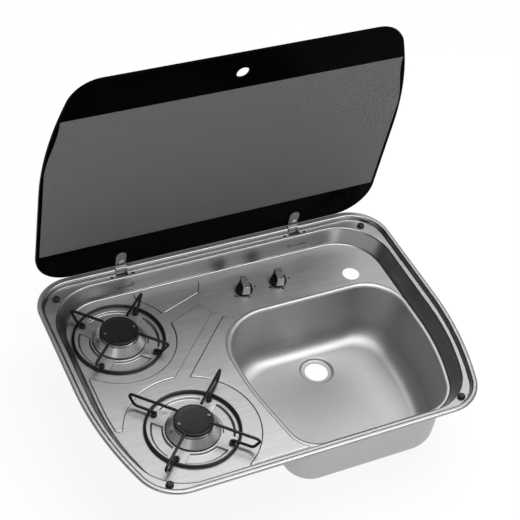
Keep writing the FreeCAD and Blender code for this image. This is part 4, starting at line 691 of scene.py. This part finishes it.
# Rounded edge at the seam with the deck: in from the edge, and down
SEAM_EDGE = ((0.0, 0.75), (0.12, 0.42), (0.4, 0.14), (0.9, 0.01))

# Drain recess; its edge goes out and down from the floor, its foot goes in and up from the bottom
DRAIN = (121.0, 26.0)
DRAIN_HOLE_RADIUS = 19.0
RECESS_RADIUS = 27.5
RECESS_DEPTH = 4.0
RECESS_EDGE = ((1.5, 0.0), (0.6, 0.15), (0.0, 0.7))
RECESS_FOOT = ((1.6, 0.7), (2.3, 0.15), (3.1, 0.0))


def bowl_outlines():
    """Outline of the bowl at its edge and at its floor."""
    half = RIGHT_X - FOOT_INSET
    back_y = BACK_Y - FOOT_BACK_INSET
    knee_y = FRONT_Y + KNEE_FROM_FRONT + FOOT_INSET * math.tan(SIDE_SLANT / 2)
    front_y = FRONT_Y + FOOT_INSET
    front_x = half - (knee_y - front_y) * math.tan(SIDE_SLANT)
    foot = [(half, back_y), (-half, back_y), (-half, knee_y)]
    foot += [(-front_x, front_y), (front_x, front_y), (half, knee_y)]
    foot_radii = [FOOT_BACK_CORNER, FOOT_BACK_CORNER, FOOT_KNEE]
    foot_radii += [FOOT_FRONT_CORNER, FOOT_FRONT_CORNER, FOOT_KNEE]
    gap_points, gap_radii = grow((foot, foot_radii), -BOWL_GAP)
    front_right, right_knee = gap_points[4:]
    points = [(right_knee[0], BOWL_BACK_Y), (BOWL_LEFT_X, BOWL_BACK_Y), (BOWL_LEFT_X, BOWL_KNEE_Y)]
    points += [(BOWL_LEFT_FRONT_X, front_right[1]), front_right, right_knee]
    radii = [BOWL_BACK_RIGHT_CORNER, BOWL_BACK_LEFT_CORNER, BOWL_LEFT_KNEE, BOWL_FRONT_LEFT_CORNER]
    edge = grow((points, radii + gap_radii[4:]), -BOWL_SEAM_GAP)
    losses = [FLOOR_CORNER_LOSS, FLOOR_CORNER_LOSS, FLOOR_LEFT_KNEE_LOSS, FLOOR_CORNER_LOSS]
    losses += [FLOOR_INSET - BOWL_LIP, FLOOR_RIGHT_KNEE_LOSS]
    floor_radii = [radius - loss for radius, loss in zip(edge[1], losses)]
    return edge, (grow(edge, -FLOOR_INSET)[0], floor_radii)


def make_bowl():
    """Drawn bowl: lip, wall, floor bend, floor and stepped drain recess, with the sheet's thickness."""
    edge, floor = bowl_outlines()
    inwards = (1, 0)
    wall_top = (BOWL_LIP, DECK)
    wall_foot = (BOWL_RUN, FLOOR)
    wall = towards(wall_top, wall_foot)
    section = [(inset, DECK - drop) for inset, drop in SEAM_EDGE]
    section += section_bend(wall_top, inwards, wall, LIP_BEND, LIP_BEND_STEPS)
    section += section_bend(wall_foot, wall, inwards, FLOOR_BEND, FLOOR_BEND_STEPS)
    recess_low = FLOOR - RECESS_DEPTH
    recess = [(RECESS_RADIUS + out, FLOOR - drop) for out, drop in RECESS_EDGE]
    recess += [(RECESS_RADIUS - inset, recess_low + lift) for inset, lift in RECESS_FOOT]
    recess.append((DRAIN_HOLE_RADIUS, recess_low))

    def face_rings(offset, drop):
        """Rings of one face of the sheet, from the bowl's edge to its drain hole."""
        stack = []
        for inset, z in section:
            ring = outline_ring(grow(blend(edge, floor, inset / FLOOR_INSET), offset))
            stack.append([(x, y, z - drop) for x, y in ring])
        rays = [towards(DRAIN, point) for point in stack[-1]]
        for radius, z in recess:
            wide = radius + (offset if radius > DRAIN_HOLE_RADIUS else 0.0)
            stack.append([(DRAIN[0] + ray[0] * wide, DRAIN[1] + ray[1] * wide, z - drop) for ray in rays])
        return stack

    inside = face_rings(0.0, 0.0)
    below_seam = face_rings(SHEET, SHEET)[len(SEAM_EDGE) - 1:]
    outside = [[(x, y, min(z, DECK - SHEET)) for x, y, z in ring] for ring in below_seam]
    attach(ring_stack("drawn_bowl", inside + outside[::-1], BOWL), "sink_bowl")


make_bowl()


# Burners and pan supports

# Turned pieces: steps round them, and the radius of a section's end on the axis
LATHE_STEPS = 72
ON_AXIS = 0.001
CAP_LOW = DECK + 17.5
CAP_HEIGHT = 4.5
CAP_RADIUS = 29.5
# Dark ring under each burner cup's edge, painted shade of the gap beneath it: its radius, wire and height
CUP_SHADE_RADIUS = 39.9
CUP_SHADE_WIRE = 1.0
CUP_SHADE_Z = DECK + 0.95
WIRE_RADIUS = 2.2
RING_RADIUS = 69.0
RING_Z = DECK + 3.8
FOOT_REACH = 61.0
FOOT_END_Z = DECK - 2.5
FOOT_BEND = 2.4
CROSSING_Z = DECK + 7.8
ELBOW_SETBACK = 11.0
FINGER_START = 26.5
FINGER_Z = DECK + 28.5


def lathe(name, profile, centre, material):
    """Turned piece from a closed section of radius and height in millimetres."""
    angles = [2 * math.pi * i / LATHE_STEPS for i in range(LATHE_STEPS)]
    rings = []
    for radius, z in profile:
        rings.append([(centre[0] + radius * math.cos(angle), centre[1] + radius * math.sin(angle), z)
                      for angle in angles])
    return ring_stack(name, rings, material, closed=False)


def burner_cap(name, centre):
    """Enamelled cap: rounded edge, low rim and a slightly dished top."""
    low = CAP_LOW
    high = CAP_LOW + CAP_HEIGHT
    edge = CAP_RADIUS
    underside = [(ON_AXIS, low), (edge - 0.9, low)]
    side = [(edge - 0.2, low + 0.5), (edge, low + 1.4), (edge - 0.1, high - 1.5), (edge - 0.6, high - 0.6)]
    rim = [(edge - 1.5, high - 0.12), (edge - 2.5, high), (edge - 3.5, high - 0.1)]
    dished = [(edge - 5.0, high - 0.45), (edge - 9.5, high - 0.8), (edge - 19.5, high - 1.1)]
    profile = underside + side + rim + dished + [(ON_AXIS, high - 1.2)]
    attach(lathe(name + "_cap", profile, centre, CAP_ENAMEL), name + "_burner_cap")


def cup_shade_ring(name, centre):
    """Thin black ring under the edge of a burner's cup: painted shade of the gap beneath that edge."""
    place = (centre[0], centre[1], CUP_SHADE_Z)
    sizes = {"Radius": CUP_SHADE_RADIUS, "Wire": CUP_SHADE_WIRE, "Centre": place}
    # Dark ring that stands for the shade in the gap under the cup's edge
    seal = grown(name + "_cup_shade_ring", RING, RUBBER, sizes)
    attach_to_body(seal, "unit")


def pan_support(name, centre, tip, elbow_bend, tip_bend):
    """Wire ring and its four fingers, each from a foot out to its tip and back in over the burner."""
    place = (centre[0], centre[1], RING_Z)
    sizes = {"Radius": RING_RADIUS, "Wire": WIRE_RADIUS, "Centre": place}
    attach(grown(name + "_ring", RING, ENAMEL, sizes), name + "_support_ring")
    path = [(FOOT_REACH, 0, FOOT_END_Z), (FOOT_REACH, 0, CROSSING_Z), (tip - ELBOW_SETBACK, 0, CROSSING_Z),
            (tip, 0, FINGER_Z), (FINGER_START, 0, FINGER_Z)]
    runs = [(i, i + 1) for i in range(len(path) - 1)]
    bends = (0.0, FOOT_BEND, elbow_bend, tip_bend, 0.0)
    sizes = {"Wire": WIRE_RADIUS, "Centre": (centre[0], centre[1], 0.0)}
    attach(grown(name + "_fingers", FINGERS, ENAMEL, sizes, path, runs, bends), name + "_support_fingers")


burner_cap("rear", REAR_BURNER)
burner_cap("front", FRONT_BURNER)
cup_shade_ring("rear", REAR_BURNER)
cup_shade_ring("front", FRONT_BURNER)
pan_support("rear", REAR_BURNER, tip=81.5, elbow_bend=4.0, tip_bend=3.0)
pan_support("front", FRONT_BURNER, tip=103.0, elbow_bend=9.0, tip_bend=4.5)


# Repeated small pieces

BUMPER_BACK = (263.93, 186.43)
BUMPER_FRONT = (231.6, -197.4)
BUMPER_SIZES = {"Radius": 5.8, "Height": 6.0, "Root": 0.3, "Edge": 3.6}
bumper_places = [(BUMPER_BACK[0], BUMPER_BACK[1], LEDGE), (-BUMPER_BACK[0], BUMPER_BACK[1], LEDGE)]
bumper_places += [(-BUMPER_FRONT[0], BUMPER_FRONT[1], LEDGE), (BUMPER_FRONT[0], BUMPER_FRONT[1], LEDGE)]
attach(grown("bumper_domes", STUDS, RUBBER, BUMPER_SIZES, bumper_places), "lid_bumpers")

LEDGE_SCREW_SPACING = 35.4
LEDGE_SCREW_Y = 205.6
LEDGE_SCREW_SIZES = {"Radius": 2.2, "Height": 0.9, "Root": 3.8, "Edge": 0.6}
screw_places = [(x + side * LEDGE_SCREW_SPACING / 2, LEDGE_SCREW_Y, LEDGE)
                for x in (-HINGE_X, HINGE_X) for side in (-1, 1)]
attach(grown("ledge_screw_heads", STUDS, DARK_FIXING, LEDGE_SCREW_SIZES, screw_places), "ledge_screws")

# Dots printed on the deck round each knob, from its centre
KNOB_MARKS = ((-15.8, -7.9), (-18.0, -6.4), (1.8, -16.0), (20.6, 3.6))
KNOB_MARK_SIZES = {"Radius": 1.8, "Height": 0.06, "Root": 0.05, "Edge": 0.03}
for side, (x, y) in KNOBS.items():
    spots = [(x + across, y + along, DECK) for across, along in KNOB_MARKS]
    marks = grown("knob_marks_" + side, STUDS, PRINT, KNOB_MARK_SIZES, spots)
    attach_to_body(marks, "unit")


# CAD pieces that keep their shape, with softened edges and their own finish

dressed("pressed_top", STEEL, edge_mm=0.8, segments=4, sheet=True)
dressed("lid_glass", GLASS, edge_mm=0.7)
for side in ("left", "right"):
    dressed("hinge_strap_" + side, STRAP, edge_mm=0.3)
    dressed("hinge_bracket_" + side, ZINC, edge_mm=0.2)
    dressed("knob_" + side, KNOB_BLACK, edge_mm=0.9, segments=3)
    dressed("knob_inlay_" + side, KNOB_SILVER, edge_mm=0.3)
    dressed("valve_stem_" + side, BRASS, edge_mm=0.3)
    dressed("push_sleeve_" + side, KNOB_BLACK, edge_mm=0.2)
    dressed("gas_valve_" + side, BRASS, edge_mm=0.6)
for name, aluminium in (("rear", REAR_ALUMINIUM), ("front", FRONT_ALUMINIUM)):
    dressed(name + "_burner_body", aluminium, edge_mm=0.4)
    dressed(name + "_burner_head", aluminium, edge_mm=0.15)
    dressed(name + "_ring_nut", aluminium, edge_mm=0.4)
    dressed(name + "_thermocouple", PROBE, edge_mm=0.6)
    dressed(name + "_burner_carrier", ZINC, edge_mm=0.2)
    dressed(name + "_mixing_tube", ZINC, edge_mm=0.15)
    dressed(name + "_injector", BRASS, edge_mm=0.3)
    dressed(name + "_gas_pipe", aluminium, edge_mm=0.0)
    dressed(name + "_lead", BRASS, edge_mm=0.0)
    dressed(name + "_support_feet", RUBBER, edge_mm=1.0, segments=3)
dressed("rim_seal", RUBBER, edge_mm=0.3)
dressed("strap_pads", RUBBER, edge_mm=0.2)
dressed("strap_screws", BRIGHT, edge_mm=0.2)
dressed("strap_caps", BRIGHT, edge_mm=0.3)
dressed("hinge_pins", BRIGHT, edge_mm=0.3)
dressed("hinge_rivets", RIVET, edge_mm=0.3)
dressed("cap_screws", RIVET, edge_mm=0.3)
dressed("valve_bracket", ZINC, edge_mm=0.2)
dressed("valve_screws", ZINC, edge_mm=0.3)
dressed("gas_rail", ZINC, edge_mm=0.4)
dressed("inlet_nut", BRASS, edge_mm=0.6)
dressed("gas_inlet", ZINC, edge_mm=0.4)


# Stage in metres: pale floor, soft lights and the camera of the photograph

FLOOR_HALF = 6.0
FLOOR_GAP = 0.0005
FLOOR_GLOW = 0.9
PAPER_MOTTLE_MM = 400
WHITE = (1, 1, 1, 1)
# Height of a direction, from 0 at the horizon to 1 overhead, where the white sweep starts to fade and ends
SWEEP_FADE = 0.16
SWEEP_END = 0.28

# Camera: place in millimetres, turns in degrees, lens in pixels of the photograph
CAMERA_PLACE = (-719.242, -1211.643, 1484.076)
CAMERA_HEADING = -29.7851
CAMERA_TILT = 46.8569
CAMERA_ROLL = 7.6217
FOCAL_PIXELS = 1357.307
PHOTO_PIXELS = 520
# Width of its sensor in millimetres, and how far it sees in metres
SENSOR_WIDTH = 36.0
CLIP_END = 50.0


def sees_white(tree):
    """Output that is 1 for rays from the eye, in reflections and through glass, and 0 for the rest."""
    path = add_node(tree, "ShaderNodeLightPath")
    bright = add_node(tree, "ShaderNodeMath",
                      {0: path.outputs["Is Glossy Ray"], 1: path.outputs["Is Camera Ray"]},
                      operation="MAXIMUM")
    seen = add_node(tree, "ShaderNodeMath",
                    {0: bright.outputs[0], 1: path.outputs["Is Transmission Ray"]}, operation="MAXIMUM")
    return seen.outputs[0]


def stage_floor():
    """Large pale floor under the bowl, white to the eye and in reflections, with the soft shadow
    of the object."""
    material = bpy.data.materials.new("pale_studio_paper")
    tree = empty_tree(material)
    where = add_node(tree, "ShaderNodeTexCoord")
    soft = add_node(tree, "ShaderNodeTexNoise",
                    {"Vector": where.outputs["Object"], "Scale": per_mm(PAPER_MOTTLE_MM)[0]})
    tone = add_node(tree, "ShaderNodeMix",
                    {"Factor": soft.outputs["Fac"], 6: linear("#F4F4F4"), 7: linear("#FAFAFA")},
                    data_type="RGBA")
    paper = add_node(tree, "ShaderNodeBsdfDiffuse", {"Color": tone.outputs[2]})
    glow = add_node(tree, "ShaderNodeEmission", {"Color": WHITE, "Strength": 1.0})
    share = add_node(tree, "ShaderNodeMath", {0: sees_white(tree), 1: FLOOR_GLOW}, operation="MULTIPLY")
    mix = add_node(tree, "ShaderNodeMixShader",
                   {0: share.outputs[0], 1: paper.outputs[0], 2: glow.outputs[0]})
    add_node(tree, "ShaderNodeOutputMaterial", {"Surface": mix.outputs[0]})
    z = cad_box[0][2] - FLOOR_GAP
    corners = [(x * FLOOR_HALF, y * FLOOR_HALF, z) for x, y in ((-1, -1), (1, -1), (1, 1), (-1, 1))]
    mesh = bpy.data.meshes.new("floor")
    mesh.from_pydata(corners, [], [(0, 1, 2, 3)])
    new_piece("floor", mesh, material)


def studio_world(wall, zenith):
    """Plain soft room: paler overhead than at its walls, with a white sweep at the horizon to the eye
    and in reflections."""
    world = bpy.data.worlds.new("studio")
    bpy.context.scene.world = world
    tree = empty_tree(world)
    where = add_node(tree, "ShaderNodeTexCoord")
    split = add_node(tree, "ShaderNodeSeparateXYZ", {"Vector": where.outputs["Generated"]})
    height = add_node(tree, "ShaderNodeMapRange",
                      {"Value": split.outputs["Z"], "From Min": 0.0, "From Max": 1.0,
                       "To Min": wall, "To Max": zenith})
    sweep = add_node(tree, "ShaderNodeMapRange",
                     {"Value": split.outputs["Z"], "From Min": SWEEP_FADE, "From Max": SWEEP_END,
                      "To Min": 1.0, "To Max": 0.0},
                     interpolation_type="SMOOTHSTEP")
    share = add_node(tree, "ShaderNodeMath",
                     {0: sees_white(tree), 1: sweep.outputs["Result"]}, operation="MULTIPLY")
    strength = add_node(tree, "ShaderNodeMix",
                        {"Factor": share.outputs[0], 2: height.outputs["Result"], 3: 1.0})
    room = add_node(tree, "ShaderNodeBackground", {"Color": WHITE, "Strength": strength.outputs[0]})
    add_node(tree, "ShaderNodeOutputWorld", {"Surface": room.outputs[0]})


def softbox(name, position, target, size, power):
    """Large rectangular lamp that faces a point, with its power in watts."""
    data = bpy.data.lights.new(name, "AREA")
    data.shape = "RECTANGLE"
    data.size, data.size_y = size
    data.energy = power
    lamp = bpy.data.objects.new(name, data)
    lamp.location = position
    lamp.rotation_euler = (Vector(target) - Vector(position)).to_track_quat("-Z", "Y").to_euler()
    bpy.context.scene.collection.objects.link(lamp)


def photo_camera():
    """Camera of the photograph: place, direction and lens."""
    data = bpy.data.cameras.new("photo_camera")
    data.sensor_width = SENSOR_WIDTH
    data.lens = FOCAL_PIXELS / PHOTO_PIXELS * SENSOR_WIDTH
    data.clip_end = CLIP_END
    camera = bpy.data.objects.new("photo_camera", data)
    heading = Matrix.Rotation(math.radians(CAMERA_HEADING), 4, "Z")
    tilt = Matrix.Rotation(math.radians(CAMERA_TILT), 4, "X")
    roll = Matrix.Rotation(math.radians(CAMERA_ROLL), 4, "Z")
    camera.matrix_world = Matrix.Translation(Vector(CAMERA_PLACE) * MM) @ heading @ tilt @ roll
    bpy.context.scene.collection.objects.link(camera)
    bpy.context.scene.camera = camera


stage_floor()
studio_world(wall=0.04, zenith=0.4)
softbox("overhead", position=(0.55, -0.05, 2.2), target=(0, 0, 0), size=(1.9, 2.1), power=56)
softbox("behind", position=(0.45, 1.1, 1.9), target=(0, -0.1, 0), size=(1.4, 1.0), power=6)
softbox("front_low", position=(0.94, -2.4, 0.42), target=(0, 0, 0), size=(2.4, 0.6), power=8)
softbox("front_left", position=(-1.8, -1.6, 1.6), target=(0, 0, 0), size=(1.2, 1.2), power=4)
photo_camera()
bpy.context.scene.view_settings.view_transform = "Standard"
